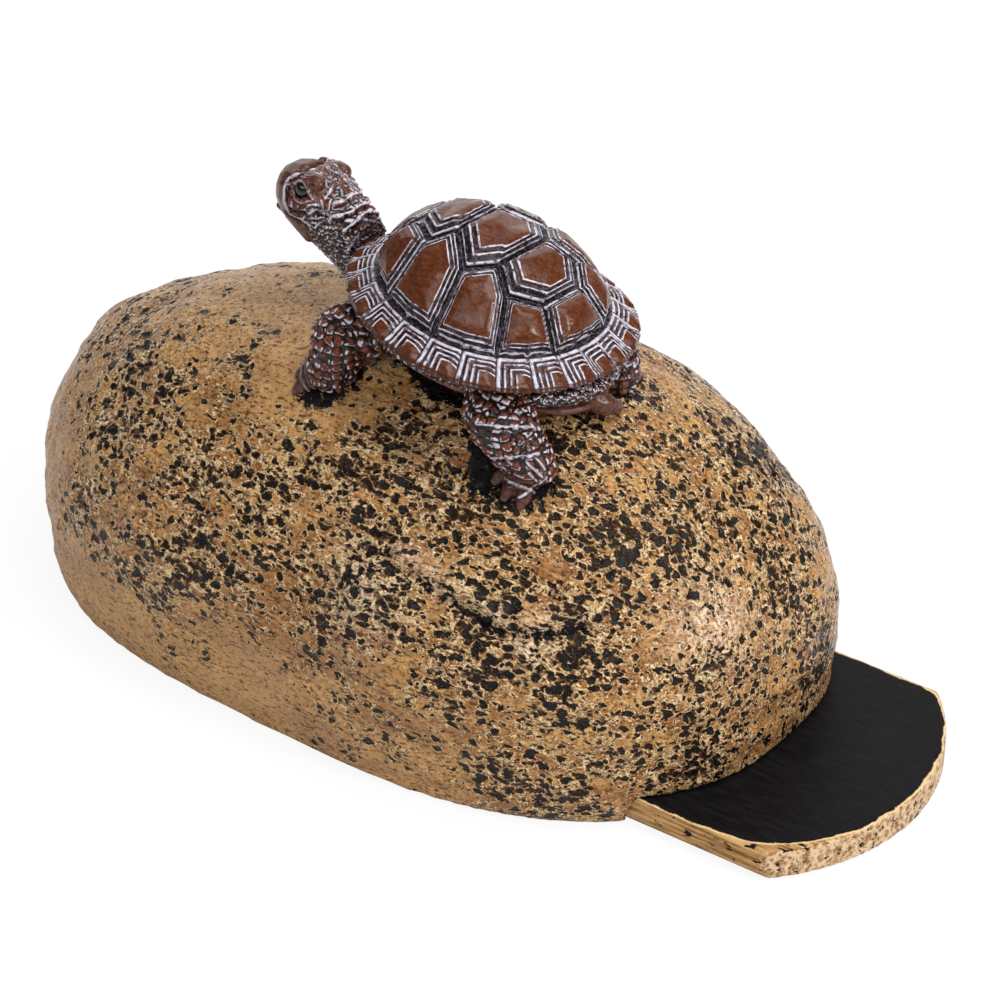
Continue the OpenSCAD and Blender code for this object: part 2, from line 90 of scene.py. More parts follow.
def cad_copy(node, name):
    """A merged copy of a node's solid, with an even and softened skin."""
    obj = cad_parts[node].copy()
    obj.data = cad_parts[node].data.copy()
    obj.name = name
    obj.data.name = name
    obj.parent = None
    for key in list(obj.keys()):
        del obj[key]
    bpy.context.scene.collection.objects.link(obj)
    obj.data.materials.clear()
    only(obj)
    bpy.ops.object.mode_set(mode="EDIT")
    bpy.ops.mesh.select_all(action="SELECT")
    bpy.ops.mesh.remove_doubles(threshold=1e-6)
    bpy.ops.object.mode_set(mode="OBJECT")
    size, rounds = MESHING[node]
    work_over(obj, "REMESH", mode="VOXEL", voxel_size=size * MM, use_smooth_shade=True)
    work_over(obj, "SMOOTH", iterations=rounds, factor=SOFTENING)
    return obj


def finish_piece(obj, material, body, node):
    obj.data.materials.append(material)
    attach(obj, body)
    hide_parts(node)


# Hand work on a mesh: points in millimetres, marks that the paint reads

RUN_STEPS = 8


def read(obj, what):
    flat = np.empty(len(obj.data.vertices) * 3)
    obj.data.vertices.foreach_get(what, flat)
    return flat.reshape(-1, 3)


def read_points(obj):
    return read(obj, "co") / MM


def read_normals(obj):
    return read(obj, "normal")


def write_points(obj, points):
    obj.data.vertices.foreach_set("co", (points * MM).ravel())
    obj.data.update()


def to_turtle(points):
    return (points - TURTLE_AT) @ TURTLE_AXES


def from_turtle(points):
    return points @ TURTLE_AXES.T + TURTLE_AT


def mark(obj, name, values, domain="POINT"):
    layer = obj.data.attributes.new(name, "FLOAT", domain)
    layer.data.foreach_set("value", np.ascontiguousarray(values, dtype=np.float32))


def step(values, low, high):
    t = np.clip((values - low) / (high - low), 0.0, 1.0)
    return t * t * (3 - 2 * t)


def bell(distance, width):
    return np.exp(-(distance / width) ** 2)


def run_through(path):
    """A smooth run through a few points."""
    p = np.array(path, float)
    p = np.vstack((2 * p[0] - p[1], p, 2 * p[-1] - p[-2]))
    run = []
    for a, b, c, d in zip(p[:-3], p[1:-2], p[2:-1], p[3:]):
        for t in np.arange(RUN_STEPS) / RUN_STEPS:
            run.append(0.5 * (2 * b + (c - a) * t + (2 * a - 5 * b + 4 * c - d) * t ** 2
                              + (3 * b - a - 3 * c + d) * t ** 3))
    run.append(p[-2])
    return np.array(run)


def from_run(points, run):
    """Distance of each point from a run."""
    best = np.full(len(points), 1e9)
    for a, b in zip(run[:-1], run[1:]):
        ab = b - a
        t = np.clip((points - a) @ ab / (ab @ ab), 0.0, 1.0)
        best = np.minimum(best, np.linalg.norm(points - a - t[:, None] * ab, axis=1))
    return best


def ridge(points, path, width):
    """1 along a smooth run through a few points, falling off to its sides."""
    return bell(from_run(points, run_through(path)), width)


def moved(path, along, up):
    return [(x + along, y, z + up) for x, y, z in path]


class Clay:
    """A skin of the turtle under the maker's tools, in the turtle's own frame."""

    # The black mark is wash in grooves and, below each pale ridge, partly painted shade
    MARKS = ("plate", "grain", "bare", "chalk", "ink")
    NEAR_SQUARED = 6.0
    STROKE_REACH = 4

    def __init__(self, obj):
        self.obj = obj
        self.points = to_turtle(read_points(obj))
        self.normals = read_normals(obj) @ TURTLE_AXES
        self.lift = np.zeros(len(self.points))
        self.marks = {name: np.zeros(len(self.points)) for name in self.MARKS}

    def onto(self, run):
        """The run laid on the skin, where the skin is near."""
        laid = []
        for spot in run:
            gaps = ((self.points - spot) ** 2).sum(axis=1)
            near = np.argmin(gaps)
            if gaps[near] < self.NEAR_SQUARED:
                normal = self.normals[near]
                spot = spot + normal * ((self.points[near] - spot) @ normal)
            laid.append(spot)
        return np.array(laid)

    def brush(self, name, values):
        self.marks[name] = np.maximum(self.marks[name], values)

    def stroke(self, path, width, lift, **paints):
        run = self.onto(run_through(path))
        reach = self.STROKE_REACH * width
        low, high = run.min(axis=0) - reach, run.max(axis=0) + reach
        near = np.all((self.points > low) & (self.points < high), axis=1)
        shape = np.zeros(len(self.points))
        shape[near] = bell(from_run(self.points[near], run), width)
        self.lift += lift * shape
        for name, amount in paints.items():
            self.brush(name, amount * shape)

    def both(self, path, width, lift, **paints):
        """The same stroke on the left side and on the right."""
        for side in (1, -1):
            self.stroke([(x, side * y, z) for x, y, z in path], width, lift, **paints)

    def done(self):
        write_points(self.obj, from_turtle(self.points + self.normals * self.lift[:, None]))
        for name, values in self.marks.items():
            mark(self.obj, name, np.clip(values, 0.0, 1.0))


# Node helpers, the same in a material and in a relief

class Bench:
    def __init__(self, tree):
        self.tree = tree

    def node(self, kind, **settings):
        n = self.tree.nodes.new(kind)
        for key, value in settings.items():
            setattr(n, key, value)
        return n

    def put(self, socket, value):
        if isinstance(value, bpy.types.NodeSocket):
            self.tree.links.new(value, socket)
        elif value is not None:
            socket.default_value = value

    def fill(self, n, **values):
        for name, value in values.items():
            self.put(n.inputs[name], value)

    def math(self, operation, *values):
        n = self.node("ShaderNodeMath", operation=operation)
        for socket, value in zip(n.inputs, values):
            self.put(socket, value)
        return n.outputs[0]

    def times(self, a, b):
        return self.math("MULTIPLY", a, b)

    def plus(self, a, share, b):
        return self.math("MULTIPLY_ADD", a, share, b)

    def less(self, value, *takers):
        """What is left of a value where others take their share of it."""
        for taker in takers:
            value = self.times(value, self.math("SUBTRACT", 1.0, taker))
        return value

    def vector(self, operation, a, b=None, scale=None):
        n = self.node("ShaderNodeVectorMath", operation=operation)
        self.put(n.inputs[0], a)
        self.put(n.inputs[1], b)
        self.put(n.inputs[3], scale)
        return n.outputs["Value" if operation == "DOT_PRODUCT" else "Vector"]

    def stretched(self, place, x, y, z):
        return self.vector("MULTIPLY", place, (x, y, z))

    def noise(self, place, scale, detail=2.0, rough=0.5, colour=False):
        n = self.node("ShaderNodeTexNoise", noise_dimensions="3D")
        self.fill(n, Vector=place, Scale=scale, Detail=detail, Roughness=rough)
        return n.outputs["Color"] if colour else n.outputs[0]

    def swing(self, place, scale, detail=2.0, rough=0.5):
        """Noise that swings about zero."""
        return self.math("SUBTRACT", self.noise(place, scale, detail, rough), 0.5)

    def shake(self, place, scale, rough, reach):
        """A random way to go from a place."""
        way = self.noise(place, scale, rough=rough, colour=True)
        return self.vector("SCALE", self.vector("SUBTRACT", way, (0.5, 0.5, 0.5)), scale=reach)

    def cells(self, place, scale, feature="F1", spread=1.0):
        n = self.node("ShaderNodeTexVoronoi", feature=feature)
        self.fill(n, Vector=place, Scale=scale, Randomness=spread)
        return n

    def ramp(self, value, low, high, to_low=0.0, to_high=1.0, soft=True):
        n = self.node("ShaderNodeMapRange", interpolation_type="SMOOTHSTEP" if soft else "LINEAR")
        for socket, entry in zip(n.inputs, (value, low, high, to_low, to_high)):
            self.put(socket, entry)
        return n.outputs[0]

    def mark(self, name):
        if self.tree.bl_idname == "GeometryNodeTree":
            n = self.node("GeometryNodeInputNamedAttribute", data_type="FLOAT")
            n.inputs[0].default_value = name
            return n.outputs[0]
        return self.node("ShaderNodeAttribute", attribute_name=name).outputs["Fac"]

    def blend(self, factor, a, b):
        n = self.node("ShaderNodeMix", data_type="RGBA")
        self.put(n.inputs[0], factor)
        self.put(n.inputs[6], a)
        self.put(n.inputs[7], b)
        return n.outputs[2]

    def coats(self, colour, *layers):
        """Paint over paint: the share, the strength and the colour of each layer."""
        for share, strength, over in layers:
            colour = self.blend(self.times(share, strength), colour, over)
        return colour

    def surface(self, shader, colour, rough, gloss=None):
        self.fill(shader, **{"Base Color": colour, "Roughness": rough, "Specular IOR Level": gloss})

    def bump(self, shader, height, strength, depth):
        n = self.node("ShaderNodeBump")
        self.fill(n, Strength=strength, Distance=depth * MM, Height=height)
        self.fill(shader, Normal=n.outputs[0])


def srgb(r, g, b):
    def line(c):
        c /= 255
        return c / 12.92 if c <= 0.04045 else ((c + 0.055) / 1.055) ** 2.4
    return (line(r), line(g), line(b), 1.0)


def palette(**colours):
    return SimpleNamespace(**{name: srgb(*colour) for name, colour in colours.items()})


def new_material(name):
    material = bpy.data.materials.new(name)
    material.use_nodes = True
    tree = material.node_tree
    tree.nodes.clear()
    bench = Bench(tree)
    shader = bench.node("ShaderNodeBsdfPrincipled")
    out = bench.node("ShaderNodeOutputMaterial")
    tree.links.new(shader.outputs[0], out.inputs[0])
    return material, bench, shader


def rest_place(bench):
    """The place in millimetres before the relief was cut."""
    n = bench.node("ShaderNodeAttribute", attribute_name="rest_place")
    return bench.vector("SCALE", n.outputs["Vector"], scale=1 / MM)


def object_place(bench):
    n = bench.node("ShaderNodeTexCoord")
    return bench.vector("SCALE", n.outputs["Object"], scale=1 / MM)


def carve(obj, field):
    """Push the skin along its normals by a field in millimetres, and keep the place before it."""
    tree = bpy.data.node_groups.new(obj.name + "_relief", "GeometryNodeTree")
    tree.interface.new_socket("Geometry", in_out="INPUT", socket_type="NodeSocketGeometry")
    tree.interface.new_socket("Geometry", in_out="OUTPUT", socket_type="NodeSocketGeometry")
    bench = Bench(tree)
    start = bench.node("NodeGroupInput")
    end = bench.node("NodeGroupOutput")
    place = bench.node("GeometryNodeInputPosition").outputs[0]
    normal = bench.node("GeometryNodeInputNormal").outputs[0]
    keep = bench.node("GeometryNodeStoreNamedAttribute", data_type="FLOAT_VECTOR", domain="POINT")
    keep.inputs["Name"].default_value = "rest_place"
    tree.links.new(start.outputs[0], keep.inputs[0])
    tree.links.new(place, keep.inputs["Value"])
    height = field(bench, bench.vector("SCALE", place, scale=1 / MM))
    offset = bench.vector("SCALE", normal, scale=bench.times(height, MM))
    move = bench.node("GeometryNodeSetPosition")
    tree.links.new(keep.outputs[0], move.inputs[0])
    tree.links.new(offset, move.inputs["Offset"])
    tree.links.new(move.outputs[0], end.inputs[0])
    work_over(obj, "NODES", node_group=tree)


# Stone

# Spacing, size and rarity of each kind of pore, in millimetres
LARGE_PORES = (1.6, 1.06, 0.16)
MEDIUM_PORES = (1.0, 0.72, 0.14)
PINHOLES = (0.6, 0.40, 0.08)

# Heights in millimetres of what covers the whole stone
LUMP = 1.9
SWELL = 2.8
KNOB = 1.5
PIT = -0.4

STONE = palette(
    amber=(140, 92, 42), pale_amber=(206, 157, 92), smear=(130, 76, 25), vein=(242, 222, 192),
    lip=(236, 205, 158), rubbed=(180, 141, 94), crest=(240, 214, 184), pinhole=(70, 41, 18),
    dash=(56, 32, 13), wall=(70, 38, 12), floor=(14, 8, 4), glint=(128, 120, 116), black=(13, 12, 14))
STONE_GLOSS = 0.19


def pores(bench, place, kind, thin):
    """Rounded pores of uneven size, one to a cell: millimetres inside a pore's edge."""
    spacing, size, rare = kind
    cell = bench.cells(place, 1 / spacing)
    chance = bench.vector("DOT_PRODUCT", cell.outputs["Color"], (1.0, 0.0, 0.0))
    radius = bench.math("SUBTRACT", bench.plus(chance, size, -rare), thin)
    return bench.math("SUBTRACT", radius, bench.times(cell.outputs["Distance"], spacing))


def pit_fields(bench, place):
    """Millimetres inside a pit's edge, the same for pinholes, and how the stone is worn, which on the
    back is partly painted sheen.
    """
    ragged = bench.vector("ADD", place, bench.shake(place, 1.5, 0.6, 0.7))
    ragged = bench.vector("ADD", ragged, bench.shake(place, 0.35, 0.6, 2.4))
    drawn = bench.stretched(ragged, 0.58, 1.0, 1.1)
    patch = bench.swing(place, 0.075, 3.0, 0.65)
    worn = bench.plus(patch, -1.6, bench.mark("wear_and_sheen"))
    worn = bench.ramp(worn, 0.05, 1.05, soft=False)
    thin = bench.plus(patch, -0.9, bench.plus(worn, 0.62, -0.045))
    torn = bench.math("SUBTRACT", bench.noise(drawn, 0.50, 4.0, 0.65), 0.64)
    torn = bench.math("SUBTRACT", bench.times(torn, 2.0), thin)
    large = pores(bench, drawn, LARGE_PORES, thin)
    medium = pores(bench, drawn, MEDIUM_PORES, thin)
    small = pores(bench, drawn, PINHOLES, bench.times(thin, 0.2))
    return bench.math("MAXIMUM", torn, bench.math("MAXIMUM", large, medium)), small, worn


def stone_relief(bench, place):
    pit = bench.ramp(pit_fields(bench, place)[0], 0.0, 0.5)
    lumps = bench.swing(place, 0.085)
    swells = bench.swing(place, 0.032, 1.0)
    knobs = bench.swing(bench.stretched(place, 0.14, 0.2, 0.22), 1.0, 2.0, 0.55)
    height = bench.plus(lumps, LUMP, bench.times(swells, SWELL))
    height = bench.plus(knobs, KNOB, height)
    height = bench.plus(pit, PIT, height)
    return bench.times(height, bench.mark("outside"))


def stone_paint():
    material, bench, shader = new_material("varnished_stone")
    place = rest_place(bench)
    pits, small, worn = pit_fields(bench, place)
    # Pale lips round the pits: partly cream paint, partly painted highlight on the pit rims
    lip = bench.less(bench.ramp(pits, -0.21, -0.13), bench.ramp(pits, -0.07, -0.02))
    hole = bench.ramp(small, -0.02, 0.06)
    streak = bench.noise(bench.stretched(place, 0.05, 0.14, 0.20), 1.0, 6.0, 0.72)
    grain = bench.noise(place, 0.9, 5.0, 0.7)
    vein = bench.math("ABSOLUTE", bench.swing(place, 0.75, 3.0, 0.6))
    # Pale crests on the fold and bulges: partly rubbed wear, partly painted highlight
    crest = bench.times(bench.mark("crest"), bench.ramp(grain, 0.36, 0.60))
    dash = bench.noise(bench.stretched(place, 0.7, 1.9, 2.1), 1.0, 3.0, 0.6)
    # Painted glints: pale flecks in the black pit floors stand in for reflections
    glint = bench.ramp(bench.noise(place, 2.8, 2.0, 0.6), 0.60, 0.70)
    floor = bench.blend(bench.times(glint, 0.45), STONE.floor, STONE.glint)
    # Black paint round the feet; under the belly it is partly painted shade
    black = bench.plus(bench.swing(place, 0.6, 4.0, 0.7), 2.2, bench.mark("black_paint_and_shade"))
    tan = bench.blend(bench.ramp(grain, 0.34, 0.66), STONE.amber, STONE.pale_amber)
    colour = bench.coats(
        tan,
        (bench.ramp(streak, 0.43, 0.60), 0.9, STONE.smear),
        (bench.ramp(vein, 0.0, 0.045, 1.0, 0.0), 0.14, STONE.vein),
        # Lips: cream paint and painted highlight
        (lip, 0.95, STONE.lip),
        # Rubbed pale, and on the back partly painted sheen
        (worn, 0.75, STONE.rubbed),
        # Pale crests: rubbed wear and painted highlight
        (crest, 0.75, STONE.crest),
        (hole, 0.5, STONE.pinhole),
        (bench.ramp(dash, 0.54, 0.62), 0.8, STONE.dash),
        (bench.ramp(pits, -0.04, 0.06), 0.9, STONE.wall),
        (bench.ramp(pits, 0.05, 0.16), 1.0, floor),
        (bench.ramp(black, 0.50, 0.60), 1.0, STONE.black))
    wet = bench.plus(worn, 0.12, bench.ramp(grain, 0.3, 0.7, 0.13, 0.27))
    bench.surface(shader, colour, wet, STONE_GLOSS)
    dips = bench.math("MAXIMUM", bench.ramp(pits, -0.1, 0.2), bench.times(hole, 0.4))
    height = bench.math("SUBTRACT", bench.times(grain, 0.5), dips)
    bench.bump(shader, bench.plus(lip, 0.5, height), 1.0, 0.6)
    return material


# The stone's inside, which stays plain
CHANNEL_BACK = -63.0
CHANNEL_HALF = 31.2
CHANNEL_TOP = 7.6
COMPARTMENT = ((-55.0, -26.0, 0.0), (36.0, 26.0, 38.5))

# Where black paint has run in round the feet, and where the black under the belly is partly paint and
# partly painted shade, in the turtle's frame
FEET = ((20.2, 16.1), (20.2, -16.1), (-23.5, 13.5), (-19.5, -13.5), (-17.5, 15.5), (-14.5, -15.5))
BELLY_PAINT_AND_SHADE = (20.0, 15.0)

# Forms across the stone's front
STONE_FOLD = [
    (11.1, -37.2, 44.3), (19.3, -38.0, 41.9), (27.5, -37.5, 40.3), (32.6, -37.2, 38.8),
    (38.8, -34.5, 39.5), (45.4, -30.3, 40.9)]
STONE_HOLLOW = [
    (13.7, -38.6, 41.9), (20.1, -39.0, 40.2), (26.8, -38.7, 38.7), (32.6, -38.3, 36.9),
    (39.4, -35.3, 38.0), (45.9, -31.0, 39.5)]
STONE_CREASE = [(56.9, -14.8, 43.4), (57.4, -17.4, 41.6), (59.4, -18.9, 37.9)]
STONE_BULGES = [((61.4, -15.0, 37.6), 8.0), ((6.4, -41.8, 37.4), 7.0), ((38.1, -37.1, 35.9), 3.5)]
FOLD_WIDTH, FOLD_LIFT = 2.4, 1.3
HOLLOW_WIDTH, HOLLOW_LIFT = 1.8, -1.4
CREASE_WIDTH, CREASE_LIFT = 1.0, -1.0
BULGE_LIFT = 1.0


def make_stone():
    stone = cad_copy("stone_shell", "stone")
    points = read_points(stone)
    x, y, z = points.T
    low, high = COMPARTMENT
    inside = np.all((points > low) & (points < high), axis=1)
    inside |= (x > CHANNEL_BACK) & (np.abs(y) < CHANNEL_HALF) & (z < CHANNEL_TOP)
    mark(stone, "outside", np.where(inside, 0.0, step(z, 0.6, 2.5)))
    # Rubbed pale and nearly free of pits low down and round the far end, less so on the back, where
    # the paleness is partly painted sheen
    low_down = step(z, 36.0, 2.0) * step(x, 60.0, -20.0)
    far_end = step(x, -58.0, -90.0) * step(z, 50.0, 25.0)
    # Paler back and top: partly rubbed wear, partly painted sheen
    back = 0.62 * step(z, 44.0, 60.0) * step(x, 15.0, -30.0)
    mark(stone, "wear_and_sheen", np.maximum.reduce([low_down, far_end, back]))
    # A fold with a hollow below it, a crease, and bulges beside them; fold and bulges take pale paint
    # that is partly rubbed wear and partly painted highlight
    fold = ridge(points, STONE_FOLD, FOLD_WIDTH)
    hollow = ridge(points, STONE_HOLLOW, HOLLOW_WIDTH)
    crease = ridge(points, STONE_CREASE, CREASE_WIDTH)
    bulge = np.maximum.reduce(
        [bell(np.linalg.norm(points - spot, axis=1), width) for spot, width in STONE_BULGES])
    mark(stone, "crest", np.maximum(0.7 * fold, bulge))
    # Black paint round the feet; black under the belly, partly paint and partly painted shade; and
    # black in the hollow and the crease
    along, across = to_turtle(points)[:, :2].T
    feet = [0.9 * step(np.hypot(along - a, across - b), 9.0, 3.0) for a, b in FEET]
    # Black under the belly: partly paint, partly painted shade
    belly_paint_and_shade = step(np.hypot(along / BELLY_PAINT_AND_SHADE[0], across / BELLY_PAINT_AND_SHADE[1]), 1.0, 0.6)
    turtle = np.maximum.reduce(feet + [belly_paint_and_shade]) * step(z, 40.0, 50.0)
    mark(stone, "black_paint_and_shade", np.maximum.reduce([turtle, 0.6 * hollow, 0.6 * crease]))
    lift = FOLD_LIFT * fold + BULGE_LIFT * bulge + HOLLOW_LIFT * hollow + CREASE_LIFT * crease
    write_points(stone, points + read_normals(stone) * lift[:, None])
    carve(stone, stone_relief)
    finish_piece(stone, stone_paint(), ROOT, "stone_shell")


# Carapace: shares along and across the shell, 1 at the rim and RING at the marginals' inner edge

SHELL_HALF = (28.0, 24.0)
SHELL_TAPER = 0.15
RING = 0.80
SEAMS = [(0.47, 0.26), (0.28, 0.41), (0.15, 0.26), (-0.07, 0.47), (-0.23, 0.28), (-0.39, 0.38),
         (-0.57, 0.19)]
MARGINALS = 24
REAR_MARGINAL, FRONT_MARGINAL = 11, 23
LARGE_SCUTES = 13
BACK_SCUTES = 5
BESIDE_LEAN = 0.28
FLANK_STEPS = 0.72

# Lines and grooves: where in a scute's growth, and how wide
LARGE_LINES = ((0.925, 0.017), (0.805, 0.014), (0.690, 0.013))
LARGE_GROOVES = ((1.0, 0.050), (0.868, 0.040), (0.748, 0.034))
EDGE_LINES = ((0.905, 0.046), (0.735, 0.027), (0.570, 0.025), (0.42, 0.022))
EDGE_GROOVES = ((1.0, 0.045), (0.825, 0.045), (0.655, 0.042), (0.495, 0.036))

# Heights and depths on the shell, in millimetres
PLATEAU = 0.95
SEAM_DEPTH = 0.75
BACK_SEAM_DEPTH = 0.5
LARGE_LINE, LARGE_GROOVE = 0.16, 0.22
EDGE_LINE, EDGE_GROOVE = 0.14, 0.20
RIM_LEVEL, RIM_FADE, RIM_THIN = 11.4, 4.0, 2.2
NOTCH_DEPTH, NOTCH_DEGREES = 0.6, 1.2

# The under colour is painted shade for the shell's downward faces
SHELL = palette(
    brown=(68, 33, 18), pale_brown=(102, 55, 30), terrace=(50, 40, 42), under=(40, 21, 14),
    rim=(52, 24, 13), groove=(9, 8, 11), haze=(84, 78, 92), chalk=(156, 148, 164),
    pale_chalk=(230, 226, 238))
SHELL_GLOSS = 0.25


def marginal_angles():
    half = MARGINALS // 2
    even = np.radians((np.arange(half) + 0.5) * 180 / half)
    left = np.degrees(even) - 1.5 * np.sin(even) - 5 * np.sin(2 * even)
    return np.concatenate((left, 360 - left[::-1]))


def scute_plans(angles):
    """Outlines of the large scutes, as shares along and across the shell."""
    ring = [(RING * math.cos(math.radians(a)), RING * math.sin(math.radians(a))) for a in angles]
    s = SEAMS
    other = [(along, -across) for along, across in s]
    left = [
        [ring[1], ring[2], ring[3], ring[4], s[1], s[0]],
        [ring[4], ring[5], ring[6], s[3], s[2], s[1]],
        [ring[6], ring[7], ring[8], s[5], s[4], s[3]],
        [ring[8], ring[9], ring[10], s[6], s[5]],
    ]
    right = [[(along, -across) for along, across in plan][::-1] for plan in left]
    middle = [[ring[22], ring[23], ring[0], ring[1], s[0], other[0]]]
    for i in (0, 2, 4):
        middle.append([other[i + 1], other[i], s[i], s[i + 1], s[i + 2], other[i + 2]])
    middle.append([other[6], s[6], ring[10], ring[11], ring[12], ring[13]])
    return middle + left + right


def growth(plan, points):
    """0 at the middle of a scute's plateau, 1 on its seam: scaled copies of the outline."""
    plan = np.array(plan)
    start = plan.mean(axis=0)
    ring = plan[np.abs(np.hypot(*plan.T) - RING) < 0.01]
    beside = abs(start[1]) > 0.1
    if beside:
        start = (1 - BESIDE_LEAN) * start + BESIDE_LEAN * ring.mean(axis=0)
    sides = list(zip(plan, np.roll(plan, -1, axis=0)))
    turn = np.sign(sum(np.cross(a - start, b - start) for a, b in sides))
    grown = np.full(len(points), -1e9)
    for a, b in sides:
        out = turn * np.array((b[1] - a[1], a[0] - b[0]))
        share = (points - start) @ out / ((a - start) @ out)
        # The flanks of the scutes along the back have wider steps
        if not beside and a[1] * b[1] > 0 and len(ring) < 3:
            share = np.where(share > 0, 1 - (1 - share) * FLANK_STEPS, share)
        grown = np.maximum(grown, share)
    return grown


def marginal_growth(k, angle, radius, angles):
    """0 at a marginal's rear corner on the rim, 1 on its front seam and at the ring."""
    first = angles[k]
    span = (angles[(k + 1) % MARGINALS] - first) % 360
    share = ((angle - first + 180) % 360 - 180) / span
    ahead = np.where(k < REAR_MARGINAL, 1 - share, share)
    middle = (k == REAR_MARGINAL) | (k == FRONT_MARGINAL)
    ahead = np.where(middle, np.abs(2 * share - 1), ahead)
    return np.clip(np.maximum(ahead, 1 - (radius - RING) / (1 - RING)), 0.0, 1.0)


def shell_growth(points, plans, angles):
    """Each point's scute, marginals last, its growth in each large scute, its angle and its radius."""
    along = points[:, 0] / SHELL_HALF[0]
    across = points[:, 1] / (SHELL_HALF[1] * (1 - SHELL_TAPER * along))
    flat = np.stack((along, across), axis=1)
    large = np.stack([growth(plan, flat) for plan in plans], axis=1)
    angle = np.degrees(np.arctan2(across, along)) % 360
    radius = np.hypot(along, across)
    k = (np.searchsorted(angles, angle) - 1) % MARGINALS
    scute = np.where(large.min(axis=1) <= 1.0, large.argmin(axis=1), LARGE_SCUTES + k)
    return scute, large, angle, radius


def own_growth(scute, rows, large, angle, radius, angles):
    """How far out in its own scute each point of some rows lies."""
    k = np.maximum(scute - LARGE_SCUTES, 0)
    marginal = marginal_growth(k, angle[rows], radius[rows], angles)
    inner = np.clip(large[rows, np.minimum(scute, LARGE_SCUTES - 1)], 0, 1)
    return np.where(scute >= LARGE_SCUTES, marginal, inner)


def make_carapace():
    shell = cad_copy("carapace", "shell_scutes")
    angles = marginal_angles()
    plans = scute_plans(angles)
    points = to_turtle(read_points(shell))
    normals = read_normals(shell) @ TURTLE_AXES
    scute, large, angle, radius = shell_growth(points, plans, angles)
    own = own_growth(scute, np.arange(len(scute)), large, angle, radius, angles)
    edge = scute >= LARGE_SCUTES
    # The rim thins out below, with a notch at each seam between marginals
    below = np.clip((RIM_LEVEL - points[:, 2]) / RIM_FADE, 0, 1)
    points[:, 2] += RIM_THIN * below * step(radius, 0.84, 0.95)
    gap = np.abs((angle[:, None] - angles + 180) % 360 - 180).min(axis=1)
    notch = NOTCH_DEPTH * bell(gap, NOTCH_DEGREES) * step(radius, 0.92, 0.99)
    points[:, :2] *= (1 - notch / np.maximum(np.hypot(*points[:, :2].T), 1))[:, None]
    # Plateaus and sunk seams on the large scutes, lines and grooves on all
    upper = step(normals[:, 2], -0.55, -0.20)
    plateau = PLATEAU * np.clip(1 - (own / 0.85) ** 2, 0, 1)
    lift = np.where(edge, 0.0, plateau - SEAM_DEPTH * step(own, 0.84, 1.0))
    lift -= np.where(scute < BACK_SCUTES, BACK_SEAM_DEPTH * step(own, 0.88, 1.0), 0.0)
    inner = np.where(edge, 0.0, 1.0)
    outer = np.where(edge, step(radius, 1.0, 0.97), 0.0)
    for table, height, share in (
            (LARGE_LINES, LARGE_LINE, inner), (LARGE_GROOVES, -LARGE_GROOVE, inner),
            (EDGE_LINES, EDGE_LINE, outer), (EDGE_GROOVES, -EDGE_GROOVE, outer)):
        for at, width in table:
            lift += height * bell(own - at, width) * share
    write_points(shell, from_turtle(points + normals * (lift * upper)[:, None]))

    # Each face belongs to one scute, so that no line smears across a seam
    mesh = shell.data
    corners = np.empty(len(mesh.loops), dtype=np.int64)
    mesh.loops.foreach_get("vertex_index", corners)
    totals = np.empty(len(mesh.polygons), dtype=np.int64)
    mesh.polygons.foreach_get("loop_total", totals)
    starts = np.concatenate(([0], np.cumsum(totals)[:-1]))
    middles = np.add.reduceat(points[corners], starts, axis=0) / totals[:, None]
    face_scute = np.repeat(shell_growth(middles, plans, angles)[0], totals)
    at_corner = own_growth(face_scute, corners, large, angle, radius, angles)
    mark(shell, "growth", at_corner, "CORNER")
    mark(shell, "marginal", (face_scute >= LARGE_SCUTES).astype(float), "CORNER")
    mark(shell, "upper", upper)
    mark(shell, "rim", step(radius, 0.94, 0.99) * step(normals[:, 2], 0.55, 0.1))
    finish_piece(shell, shell_paint(), ROOT, "carapace")


